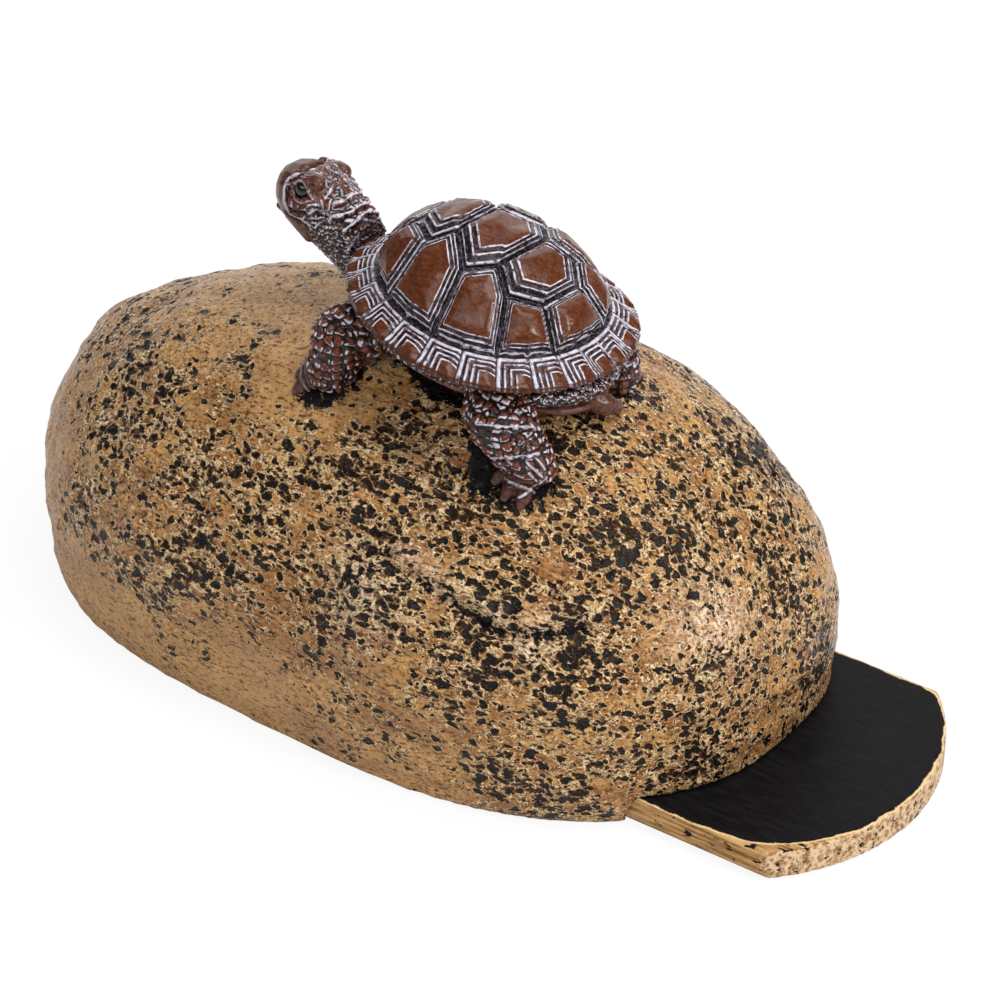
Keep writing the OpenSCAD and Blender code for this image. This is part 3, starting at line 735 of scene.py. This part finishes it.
def shell_paint():
    material, bench, shader = new_material("painted_shell")
    place = object_place(bench)
    edge = bench.mark("marginal")
    upper = bench.mark("upper")
    rim = bench.mark("rim")
    wobble = bench.swing(place, 0.55, 3.0, 0.6)
    grown = bench.plus(wobble, 0.03, bench.mark("growth"))
    thick = bench.times(bench.swing(place, 0.8), 0.03)

    def lines(table, soft):
        total = 0.0
        for at, width in table:
            off = bench.math("ADD", bench.math("ABSOLUTE", bench.math("SUBTRACT", grown, at)), thick)
            one = bench.ramp(off, width * (1 - soft), width * (1 + soft), 1.0, 0.0)
            total = bench.math("MAXIMUM", total, one)
        return total

    def either(large, marginal, soft):
        """The large scutes' lines or the marginals', but none on the rim itself."""
        n = bench.node("ShaderNodeMix", data_type="FLOAT")
        bench.put(n.inputs[0], edge)
        bench.put(n.inputs[2], lines(large, soft))
        bench.put(n.inputs[3], lines(marginal, soft))
        return bench.less(n.outputs[0], bench.times(edge, rim))

    broken = bench.ramp(bench.noise(place, 0.6, 5.0, 0.7), 0.36, 0.52)
    white = bench.times(bench.times(either(LARGE_LINES, EDGE_LINES, 0.35), broken), upper)
    black = either(LARGE_GROOVES, EDGE_GROOVES, 0.5)
    smear = bench.ramp(bench.noise(bench.stretched(place, 0.6, 1.6, 1.6), 1.0, 5.0, 0.7), 0.35, 0.7)
    brown = bench.blend(smear, SHELL.brown, SHELL.pale_brown)
    terrace = bench.less(bench.ramp(grown, 0.74, 0.86), bench.times(edge, 0.6))
    dusk = bench.blend(bench.times(terrace, 0.75), brown, SHELL.terrace)
    # Faces turned down take the darker under colour: painted shade
    dusk = bench.blend(upper, SHELL.under, dusk)
    haze = bench.ramp(bench.noise(place, 0.9, 4.0, 0.7), 0.45, 0.70)
    groove = bench.blend(haze, SHELL.groove, SHELL.haze)
    chalky = bench.blend(bench.noise(place, 1.4, 3.0), SHELL.chalk, SHELL.pale_chalk)
    colour = bench.coats(dusk, (rim, 0.6, SHELL.rim), (black, 0.92, groove), (white, 1.0, chalky))
    rough = bench.ramp(bench.noise(place, 0.8, 3.0), 0.3, 0.7, 0.16, 0.30)
    bench.surface(shader, colour, bench.plus(white, 0.2, rough), SHELL_GLOSS)
    height = bench.plus(white, 0.6, bench.noise(place, 1.6, 4.0, 0.6))
    bench.bump(shader, height, 0.35, 0.2)
    return material


# Skin: round scales with pale lower edges, plates, beads, and smooth horn

DOWN = (0.12, -0.35, -0.93)

# How many to a millimetre, and how uneven
ROUND_SCALES = (0.58, 0.5)
PLATES = (0.48, 0.9)
BEADS = (1.15, 0.85)

SKIN = palette(
    brown=(66, 28, 15), pale_brown=(114, 54, 28), horn=(58, 33, 26), pale_horn=(100, 61, 46),
    crease=(12, 10, 12), chalk=(172, 164, 176), pale_chalk=(232, 228, 238))
SKIN_GLOSS = 0.28


def scales(bench, spot, kind):
    """How far inside its scale's edge a point lies, how low in the scale, and the scale's tint."""
    size, spread = kind
    edge = bench.cells(spot, size, feature="DISTANCE_TO_EDGE", spread=spread).outputs["Distance"]
    cell = bench.cells(spot, size, spread=spread)
    away = bench.vector("NORMALIZE", bench.vector("SUBTRACT", spot, cell.outputs["Position"]))
    return edge, bench.vector("DOT_PRODUCT", away, DOWN), cell.outputs["Color"]


def skin_fields(bench, place):
    """Relief in millimetres, and the shares of pale edge, black crease and the tint of each scale."""
    plate = bench.mark("plate")
    grain = bench.mark("grain")
    bare = bench.mark("bare")
    spot = bench.vector("ADD", place, bench.shake(place, 0.6, 0.5, 0.9))
    edge, low, tint = scales(bench, spot, ROUND_SCALES)
    crescent = bench.less(bench.ramp(edge, 0.08, 0.12), bench.ramp(edge, 0.20, 0.26))
    crescent = bench.times(crescent, bench.ramp(low, -0.05, 0.35))
    sheet = scales(bench, spot, PLATES)[0]
    seam = bench.less(bench.ramp(sheet, 0.06, 0.09), bench.ramp(sheet, 0.13, 0.19))
    bead, bead_low = scales(bench, spot, BEADS)[:2]
    bead_rim = bench.less(bench.ramp(bead, 0.06, 0.10), bench.ramp(bead, 0.22, 0.32))
    bead_rim = bench.times(bead_rim, bench.ramp(bead_low, -0.3, 0.2))

    def share(scaly, plates, beads, horn):
        value = bench.less(scaly, plate, grain, bare)
        value = bench.math("ADD", value, bench.less(bench.times(plate, plates), grain, bare))
        value = bench.math("ADD", value, bench.less(bench.times(grain, beads), bare))
        return bench.math("ADD", value, bench.times(bare, horn))

    height = share(
        bench.times(bench.ramp(edge, 0.0, 0.34), 0.50),
        bench.times(bench.ramp(sheet, 0.02, 0.24), 0.40),
        bench.times(bench.ramp(bead, 0.0, 0.32), 0.30),
        0.2)
    pale = share(crescent, bench.times(seam, 0.75), bead_rim, 0.0)
    dark = share(
        bench.ramp(edge, 0.08, 0.19, 1.0, 0.0),
        bench.ramp(sheet, 0.05, 0.14, 1.0, 0.0),
        bench.ramp(bead, 0.06, 0.26, 1.0, 0.5),
        0.0)
    return height, pale, dark, tint


def skin_relief(bench, place):
    return skin_fields(bench, place)[0]


def skin_paint():
    material, bench, shader = new_material("turtle_skin")
    place = rest_place(bench)
    height, pale, dark, tint = skin_fields(bench, place)
    # Black in grooves and below pale ridges: partly wash, partly painted shade
    ink = bench.mark("ink")
    fleck = bench.noise(place, 1.3, 4.0, 0.65)
    warm = bench.vector("DOT_PRODUCT", tint, (0.6, 0.4, 0.0))
    warm = bench.plus(warm, 0.5, bench.times(fleck, 0.6))
    brown = bench.blend(bench.ramp(warm, 0.25, 0.85), SKIN.brown, SKIN.pale_brown)
    horn = bench.blend(bench.ramp(fleck, 0.3, 0.7), SKIN.horn, SKIN.pale_horn)
    crease = bench.math("MAXIMUM", bench.times(dark, 0.94), ink)
    broken = bench.ramp(bench.noise(place, 0.7, 3.0, 0.6), 0.34, 0.52)
    worn = bench.ramp(bench.noise(place, 1.1, 4.0, 0.7), 0.36, 0.52, 0.35, 1.0)
    strokes = bench.times(bench.ramp(bench.mark("chalk"), 0.55, 0.85), worn)
    white = bench.math("MAXIMUM", bench.times(pale, broken), strokes)
    white = bench.less(bench.times(white, 0.95), bench.times(ink, 0.8))
    chalky = bench.blend(fleck, SKIN.chalk, SKIN.pale_chalk)
    colour = bench.coats(
        brown, (bench.mark("bare"), 1.0, horn), (crease, 1.0, SKIN.crease), (white, 1.0, chalky))
    bench.surface(shader, colour, bench.ramp(fleck, 0.3, 0.7, 0.20, 0.34), SKIN_GLOSS)
    bench.bump(shader, bench.plus(fleck, 0.3, height), 0.6, 0.3)
    return material


def make_skin(node, shape, material):
    obj = cad_copy(node, node + "_skin")
    clay = Clay(obj)
    shape(clay)
    clay.done()
    carve(obj, skin_relief)
    finish_piece(obj, material, ROOT, node)


# Head

BROW = [(40.5, 1.7, 20.3), (41.9, 2.8, 20.0), (42.8, 4.4, 19.6), (44.1, 4.1, 18.1), (44.3, 4.8, 17.0),
        (44.1, 5.4, 15.8), (43.5, 5.9, 14.4), (42.7, 5.9, 13.4), (41.7, 5.8, 12.5)]
MOUTH = [(41.7, 5.8, 12.5), (40.9, 5.9, 12.6), (39.3, 5.9, 12.6), (37.7, 6.2, 12.5), (36.9, 5.8, 11.6)]
LID = [(42.4, 5.0, 18.1), (41.6, 5.0, 19.0), (40.6, 4.7, 19.4), (39.5, 4.9, 18.9), (38.6, 5.0, 17.8),
       (37.5, 5.0, 16.9)]
LOWER_LID = [(42.3, 5.5, 17.0), (41.2, 5.8, 15.9), (39.8, 5.7, 15.7), (38.7, 5.5, 16.3),
             (37.6, 5.1, 16.7)]
LID_BACK = [(40.5, 2.4, 20.0), (39.4, 2.2, 20.0), (38.1, 2.2, 19.6), (36.9, 2.6, 19.1)]
HEAD_SEAMS = [
    [(38.4, 5.7, 15.3), (37.6, 5.6, 16.1), (36.1, 4.9, 16.4)],
    [(36.2, 4.5, 17.3), (35.6, 4.8, 16.2), (34.8, 5.1, 15.3)],
    [(37.3, 6.1, 14.8), (36.8, 5.9, 15.4), (36.3, 5.4, 15.8)],
    [(37.1, 6.0, 14.0), (36.0, 5.6, 14.0), (35.1, 5.4, 14.7)],
    [(35.9, 5.8, 12.4), (35.2, 5.6, 13.5), (34.7, 5.4, 14.0)],
    [(35.8, 4.0, 17.8), (35.8, 3.0, 18.6), (36.2, 1.7, 19.4)],
    [(35.9, 0.7, 19.5), (34.7, 1.2, 19.0), (33.8, 1.7, 18.2)],
    [(35.2, 2.9, 18.3), (34.5, 2.8, 17.9)],
    [(39.4, 1.7, 20.3), (37.9, 1.9, 19.8), (36.9, 1.7, 19.6)],
    [(39.5, -0.2, 20.4), (38.3, -0.5, 20.1), (37.5, -1.1, 19.9)],
]
NECK_FOLDS = [
    [(34.3, 3.8, 17.1), (33.4, 2.5, 17.5), (33.0, 1.2, 18.0), (33.1, 0.0, 18.1)],
    [(33.6, 5.1, 14.4), (33.4, 4.6, 15.2), (32.4, 3.9, 15.7), (31.5, 2.8, 16.2), (31.0, 1.6, 16.6),
     (31.0, 0.0, 16.9)],
    [(30.6, 4.4, 13.4), (29.7, 2.6, 15.0), (29.6, 1.2, 15.8), (29.7, 0.0, 16.0)],
    [(28.6, 4.9, 10.7), (28.2, 4.1, 12.2), (28.4, 3.0, 13.3), (28.6, 1.5, 14.2), (28.6, 0.0, 14.9)],
]
LID_BULGE = (38.4, 3.9, 18.6)
CAP_NOTCH = [(42.6, -3.6, 19.8), (42.0, 0.0, 20.3), (42.6, 3.6, 19.8)]
CROWN_LOBES = [(39.4, -2.6, 20.1), (39.4, 0.0, 20.4), (39.4, 2.6, 20.1)]
BEAK_LINE = [(42.2, 5.8, 11.9), (45.4, 4.4, 11.5), (47.4, 2.2, 11.3), (48.2, 0.0, 11.2),
             (47.4, -2.2, 11.3), (45.4, -4.4, 11.5), (42.2, -5.8, 11.9)]

# Rear edge of the smooth beak cap: heights, and how far forward it lies there
CAP_HEIGHTS = (8, 11.8, 12.5, 14.4, 17.0, 18.1, 19.6, 20.3, 20.8)
CAP_EDGE = (37.2, 37.2, 41.7, 43.5, 44.3, 44.1, 42.8, 41.2, 41.2)

# Middle and half widths of the eye's opening
EYE_AT = (40.7, 17.5)
EYE_HALF = (2.0, 1.75)


def shape_head(clay):
    x, y, z = clay.points.T
    y = np.abs(y)
    clay.brush("bare", step(x - np.interp(z, CAP_HEIGHTS, CAP_EDGE), -0.4, 0.5))
    # Smooth bulge of the lid behind the eye
    lid = np.linalg.norm(np.stack((x, y, z), axis=1) - LID_BULGE, axis=1)
    clay.brush("bare", step(lid, 2.5, 1.8))
    clay.lift += 0.5 * bell(lid, 1.7)
    # Beads on throat and neck, plates on the crown
    over_neck = z - (5.2 + (x - 22.4) * 0.5)
    clay.brush("grain", step(over_neck, 5.0, 3.6) * step(x, 38.2, 36.6))
    clay.brush("plate", step(x, 31.5, 33.5) * step(over_neck, 3.6, 5.0))
    # Notch between beak cap and crown, and the crown's lobes behind it
    clay.stroke(CAP_NOTCH, 0.7, -0.8, ink=0.6)
    clay.stroke(CROWN_LOBES, 1.5, 0.45, bare=0.8)
    # Pale ridges with dark grooves just below them, the black partly wash and partly painted shade
    clay.both(BROW, 0.36, 0.30, chalk=0.9)
    clay.both(moved(BROW, -0.7, -0.3), 0.35, -0.2, ink=0.7)
    clay.both(MOUTH, 0.36, 0.2, chalk=0.95)
    clay.both(moved(MOUTH, 0.0, -0.75), 0.4, -0.3, ink=0.8)
    clay.stroke(BEAK_LINE, 0.4, -0.35, ink=0.5)
    clay.both(LID, 0.45, 0.45, bare=1.0)
    clay.both(LID, 0.26, 0.0, chalk=0.8)
    clay.both(LOWER_LID, 0.42, 0.35, bare=1.0)
    clay.both(LOWER_LID, 0.22, 0.0, chalk=0.75)
    # Dark ring round the eye: partly paint, partly painted shade
    socket = np.hypot((x - EYE_AT[0]) / EYE_HALF[0], (z - EYE_AT[1]) / EYE_HALF[1])
    clay.brush("ink", step(socket, 1.0, 0.8) * step(y, 3.0, 3.6))
    clay.both(LID_BACK, 0.34, 0.2, chalk=0.95)
    for seam in HEAD_SEAMS:
        clay.both(seam, 0.28, 0.22, chalk=0.85)
        clay.both(moved(seam, -0.5, -0.5), 0.36, -0.25, ink=0.85)
    for fold in NECK_FOLDS:
        path = fold + [(a, -b, c) for a, b, c in fold[-2::-1]]
        clay.stroke(path, 0.36, 0.35, chalk=0.85)
        clay.stroke(moved(path, -0.8, -0.4), 0.42, -0.4, ink=0.95)


# Eyes: flattened and set back behind the lids

EYE_WAS, EYE_SET, EYE_FLAT = 4.71, 4.45, 0.85
EYE = palette(black=(9, 8, 9), cloud=(34, 24, 20))


def make_eyes():
    eyes = cad_copy("eyes", "eyes_gloss")
    points = to_turtle(read_points(eyes))
    out = points[:, 1]
    points[:, 1] = np.sign(out) * (EYE_SET + (np.abs(out) - EYE_WAS) * EYE_FLAT)
    write_points(eyes, from_turtle(points))
    material, bench, shader = new_material("gloss_eye")
    cloud = bench.noise(object_place(bench), 0.8, 3.0)
    colour = bench.blend(bench.ramp(cloud, 0.5, 0.7), EYE.black, EYE.cloud)
    bench.surface(shader, colour, bench.ramp(cloud, 0.3, 0.7, 0.08, 0.2))
    finish_piece(eyes, material, ROOT, "eyes")


# Trunk, tail and belly plate

REAR_DRAWN = 4.0
PLASTRON = palette(brown=(58, 30, 20), pale_brown=(112, 66, 46))


def drawn_back(points):
    """The body's rear end drawn out under the shell."""
    points[:, 0] -= REAR_DRAWN * step(points[:, 0], -9.0, -21.0)


def shape_trunk(clay):
    drawn_back(clay.points)
    clay.brush("grain", 1.0)


def shape_tail(clay):
    clay.brush("bare", 1.0)


def make_plastron():
    plastron = cad_copy("plastron", "plastron_horn")
    points = to_turtle(read_points(plastron))
    drawn_back(points)
    write_points(plastron, from_turtle(points))
    material, bench, shader = new_material("plastron_horn")
    place = object_place(bench)
    smear = bench.noise(bench.stretched(place, 0.25, 0.8, 0.8), 1.0, 5.0, 0.65)
    colour = bench.blend(bench.ramp(smear, 0.3, 0.7), PLASTRON.brown, PLASTRON.pale_brown)
    bench.surface(shader, colour, bench.ramp(smear, 0.3, 0.7, 0.3, 0.5))
    bench.bump(shader, smear, 0.4, 0.3)
    finish_piece(plastron, material, ROOT, "plastron")


# Legs: three toes to a foot, each from root to tip

TOE_BANDS = (1.6, 2.8, 4.0)
FRONT_LEFT_TOES = [
    ((21.6, 15.9, -6.4), (26.5, 15.4, -7.7)),
    ((21.5, 16.6, -6.8), (26.2, 18.3, -9.4)),
    ((21.1, 17.1, -7.1), (24.6, 20.7, -10.9)),
]
FRONT_RIGHT_TOES = [
    ((21.6, -15.9, -1.0), (26.5, -15.4, -2.7)),
    ((21.5, -16.6, -1.1), (26.2, -18.3, -3.3)),
    ((21.1, -17.1, -1.2), (24.6, -20.7, -3.7)),
]
REAR_LEFT_TOES = [
    ((-22.5, 13.6, -5.4), (-20.0, 17.9, -8.8)),
    ((-23.4, 13.9, -5.7), (-23.0, 18.9, -10.3)),
    ((-24.3, 13.8, -5.8), (-26.2, 18.4, -10.6)),
]
REAR_RIGHT_TOES = [
    ((-18.5, -13.6, 0.8), (-16.0, -17.9, -0.2)),
    ((-19.4, -13.9, 0.6), (-19.0, -18.9, -0.7)),
    ((-20.3, -13.8, 0.5), (-22.2, -18.4, -1.1)),
]
REAR_LEFT_FOLDS = [
    [(-16.2, 20.5, 2.5), (-18.9, 20.2, 3.5), (-21.2, 19.2, 4.0), (-23.0, 17.2, 4.0),
     (-23.9, 14.6, 3.1)],
    [(-20.0, 19.9, -2.6), (-21.6, 19.9, -1.9), (-23.8, 19.1, -0.9), (-25.5, 17.7, -0.4),
     (-26.3, 15.9, -0.4)],
]
REAR_LEFT_STRIPES = [
    [(-28.2, 14.8, -4.9), (-27.6, 16.2, -6.2), (-26.7, 17.7, -7.8), (-25.9, 18.7, -8.8)],
    [(-25.7, 17.7, -1.7), (-26.6, 17.0, -2.7), (-27.4, 16.4, -3.7), (-27.9, 15.6, -4.7)],
    [(-26.2, 16.6, -0.7), (-26.9, 15.8, -1.9), (-27.7, 15.0, -3.4)],
    [(-26.2, 17.3, -3.8), (-26.9, 16.8, -4.7), (-27.5, 16.3, -5.5)],
    [(-24.4, 18.6, -4.5), (-25.5, 18.0, -4.9)],
    [(-23.1, 18.3, -7.1), (-24.5, 17.6, -7.2), (-26.2, 17.5, -7.2)],
    [(-22.5, 19.7, -2.0), (-23.7, 19.2, -2.5)],
    [(-21.4, 19.2, -4.2), (-22.4, 19.2, -3.9), (-22.7, 19.0, -4.5)],
]


def shape_leg(toes, folds=(), stripes=()):
    """A foot's toes with pale bands and claws, and the folds and stripes of the leg above."""
    def shape(clay):
        for root, tip in toes:
            root = np.array(root)
            way = np.array(tip) - root
            length = np.linalg.norm(way)
            way /= length
            rel = clay.points - root
            out = rel @ way
            beside = np.linalg.norm(rel - out[:, None] * way, axis=1)
            toe = step(beside, 2.8, 2.0) * step(out, 0.6, 1.4)
            clay.brush("bare", step(beside, 3.4, 2.4) * step(out, -0.8, 0.6))
            # Pale bands on each toe with dark grooves beside them, the black partly wash and partly
            # painted shade
            for at in TOE_BANDS:
                band = toe * bell(out - at, 0.32)
                groove = toe * bell(out - at - 0.6, 0.3)
                clay.lift += 0.18 * band - 0.16 * groove
                clay.brush("chalk", 0.75 * band)
                clay.brush("ink", 0.6 * groove)
            claw = step(out, length - 0.2, length + 0.3) * step(beside, 1.8, 1.0)
            clay.brush("chalk", 0.6 * claw)
            # Black between the toes: partly wash, partly painted shade
            clay.brush("ink", 0.7 * step(out, 0.4, 1.6) * bell(beside - 2.3, 0.5))
        # Each fold and stripe has a dark groove just below it: partly wash, partly painted shade
        for path in folds:
            clay.stroke(path, 0.32, 0.35, chalk=0.85)
            clay.stroke(moved(path, 0.0, -0.7), 0.42, -0.35, ink=0.9)
        for path in stripes:
            clay.stroke(path, 0.30, 0.2, chalk=0.9, bare=0.9)
            clay.stroke(moved(path, 0.0, -0.6), 0.34, -0.2, ink=0.8)
    return shape


SKINS = {
    "head": shape_head,
    "trunk": shape_trunk,
    "tail": shape_tail,
    "front_left_leg": shape_leg(FRONT_LEFT_TOES),
    "front_right_leg": shape_leg(FRONT_RIGHT_TOES),
    "rear_left_leg": shape_leg(REAR_LEFT_TOES, REAR_LEFT_FOLDS, REAR_LEFT_STRIPES),
    "rear_right_leg": shape_leg(REAR_RIGHT_TOES),
}


def make_turtle():
    make_carapace()
    make_plastron()
    make_eyes()
    skin = skin_paint()
    for node, shape in SKINS.items():
        make_skin(node, shape, skin)


# Sliding cover

COVER_HALF = 30.0
COVER_BOW = 41.0
CORNER_SHARP = 0.9
NOT_ON_TOP = -2.0

COVER = palette(
    side=(104, 70, 36), pale_side=(196, 156, 104), face=(128, 92, 58), pale_face=(210, 180, 144),
    spot=(24, 20, 18), lip=(226, 196, 148), black=(14, 13, 14), pale_black=(26, 24, 25))
COVER_GLOSS = 0.04


def make_cover():
    cover = cad_copy("slide_cover", "cover_plate")
    normals = read_normals(cover)
    x, y, z = read_points(cover).T
    front = x.max()
    # How far in from the bowed end and the sides, rounded where they meet
    bow = COVER_BOW - np.hypot(np.maximum(x - front + COVER_BOW, 0), y)
    sides = COVER_HALF - np.abs(y)
    near = sum(np.exp(-CORNER_SHARP * np.clip(gap, -5, 40)) for gap in (bow, sides))
    inset = -np.log(near) / CORNER_SHARP
    # The black stops short of the near corner
    corner = 1.9 * bell(np.hypot(x - front + 10.0, y + COVER_HALF), 9.0)
    top = (normals[:, 2] > 0.5) & (z > 4)
    mark(cover, "inset", np.where(top, inset - corner, NOT_ON_TOP))
    mark(cover, "face", step(normals[:, 0], 0.3, 0.6))
    finish_piece(cover, cover_paint(), "cover", "slide_cover")


def cover_paint():
    material, bench, shader = new_material("cover_paint")
    place = object_place(bench)
    wave = bench.swing(place, 0.22, 4.0, 0.65)
    inset = bench.plus(wave, 1.8, bench.mark("inset"))
    top = bench.ramp(inset, 0.45, 0.75)
    lip = bench.less(bench.ramp(inset, 0.05, 0.35), top)
    streak = bench.noise(bench.stretched(place, 0.06, 0.6, 1.0), 1.0, 6.0, 0.7)
    speck = bench.noise(place, 0.9, 4.0, 0.65)
    spot = bench.noise(bench.stretched(place, 0.32, 0.7, 0.9), 1.0, 3.0, 0.6)
    brush = bench.noise(bench.stretched(place, 0.20, 1.1, 0.5), 1.0, 5.0, 0.6)
    side = bench.blend(bench.ramp(streak, 0.36, 0.62), COVER.side, COVER.pale_side)
    face = bench.blend(bench.ramp(speck, 0.36, 0.60), COVER.face, COVER.pale_face)
    black = bench.blend(bench.ramp(brush, 0.35, 0.75), COVER.black, COVER.pale_black)
    colour = bench.coats(
        side,
        (bench.mark("face"), 1.0, face),
        (bench.ramp(spot, 0.59, 0.63), 1.0, COVER.spot),
        (lip, 0.8, COVER.lip),
        (top, 1.0, black))
    bench.surface(shader, colour, bench.ramp(brush, 0.3, 0.7, 0.40, 0.52), COVER_GLOSS)
    rough = bench.less(bench.math("SUBTRACT", speck, spot), top)
    bench.bump(shader, bench.plus(brush, 0.25, rough), 0.5, 0.4)
    return material


# Camera, floor and light

# The camera that sees what the photograph shows: degrees, millimetres, and pixels of a square picture
CAMERA_TURN = 36.3
CAMERA_RISE = 35.0
CAMERA_FOCAL = 4500.0
PIXELS_PER_MM = 5.266
PICTURE = 1000
STONE_MIDDLE = -13.35
STONE_SEEN_AT = (418.0, 616.2)
SENSOR = 36.0

# Place in metres, width, height and power of each lamp
LAMPS = (
    ("top_box", (0.30, 0.05, 1.0), 0.6, 0.6, 7.4),
    ("back_box", (-0.62, 0.84, 0.60), 1.6, 1.1, 9.5),
    ("right_box", (0.85, 0.0, 0.5), 0.12, 0.12, 4.6),
    ("front_box", (0.0, -0.80, 0.66), 0.9, 0.04, 3.1),
    ("spark", (0.36, -0.50, 0.78), 0.05, 0.05, 0.9),
)
LAMPS_AIM = (0, 0, 0.04)
ROOM_LIGHT = 0.13
FLOOR_SIZE = 6
FLOOR_GREY = 0.9
FLOOR_ROUGH = 0.9
FLOOR_WHITE = 0.9
WHITE = (1, 1, 1, 1)


def make_camera():
    turn = math.radians(CAMERA_TURN)
    rise = math.radians(CAMERA_RISE)
    right = Vector((math.cos(turn), math.sin(turn), 0))
    back = Vector((math.sin(turn) * math.cos(rise), -math.cos(turn) * math.cos(rise), math.sin(rise)))
    up = back.cross(right)
    eye = Vector((STONE_MIDDLE * MM, 0, 0)) + back * (CAMERA_FOCAL / PIXELS_PER_MM) * MM
    # The stone's middle falls left of and below the picture's middle
    across, down = STONE_SEEN_AT
    middle = PICTURE / 2
    aim = (-back * CAMERA_FOCAL + right * (middle - across) + up * (down - middle)).normalized()
    side = (right - aim * right.dot(aim)).normalized()
    data = bpy.data.cameras.new("camera")
    data.sensor_width = SENSOR
    data.sensor_fit = "HORIZONTAL"
    data.lens = SENSOR * CAMERA_FOCAL / PICTURE
    camera = bpy.data.objects.new("camera", data)
    bpy.context.scene.collection.objects.link(camera)
    axes = Matrix((side, side.cross(aim), -aim)).transposed()
    camera.matrix_world = Matrix.Translation(eye) @ axes.to_4x4()
    bpy.context.scene.camera = camera


def lit_and_seen(bench, lit, seen, share):
    """One shader for the light that falls on things, another, by a share, for the camera."""
    rays = bench.node("ShaderNodeLightPath")
    direct = bench.math("MAXIMUM", rays.outputs["Is Camera Ray"], rays.outputs["Is Transmission Ray"])
    mix = bench.node("ShaderNodeMixShader")
    bench.put(mix.inputs[0], bench.times(direct, share))
    bench.put(mix.inputs[1], lit.outputs[0])
    bench.put(mix.inputs[2], seen.outputs[0])
    return mix.outputs[0]


def make_floor():
    bpy.ops.object.select_all(action="DESELECT")
    bpy.ops.mesh.primitive_plane_add(size=FLOOR_SIZE, location=(0, 0, 0))
    floor = bpy.context.object
    floor.name = "floor"
    material, bench, shader = new_material("studio_floor")
    bench.surface(shader, (FLOOR_GREY, FLOOR_GREY, FLOOR_GREY, 1), FLOOR_ROUGH)
    white = bench.node("ShaderNodeEmission")
    bench.fill(white, Color=WHITE)
    out = [n for n in material.node_tree.nodes if n.type == "OUTPUT_MATERIAL"][0]
    bench.put(out.inputs[0], lit_and_seen(bench, shader, white, FLOOR_WHITE))
    floor.data.materials.append(material)


def make_light():
    world = bpy.data.worlds.new("studio")
    bpy.context.scene.world = world
    world.use_nodes = True
    world.node_tree.nodes.clear()
    bench = Bench(world.node_tree)
    room = bench.node("ShaderNodeBackground")
    plain = bench.node("ShaderNodeBackground")
    for background, strength in ((room, ROOM_LIGHT), (plain, 1.0)):
        bench.fill(background, Color=WHITE, Strength=strength)
    out = bench.node("ShaderNodeOutputWorld")
    bench.put(out.inputs[0], lit_and_seen(bench, room, plain, 1.0))
    for name, place, width, height, power in LAMPS:
        lamp = bpy.data.lights.new(name, "AREA")
        lamp.shape = "RECTANGLE"
        lamp.size = width
        lamp.size_y = height
        lamp.energy = power
        obj = bpy.data.objects.new(name, lamp)
        bpy.context.scene.collection.objects.link(obj)
        turn = (Vector(LAMPS_AIM) - Vector(place)).to_track_quat("-Z", "Y")
        obj.matrix_world = Matrix.Translation(place) @ turn.to_matrix().to_4x4()
    bpy.context.scene.view_settings.view_transform = "Standard"


make_camera()
make_floor()
make_light()
make_stone()
make_cover()
make_turtle()
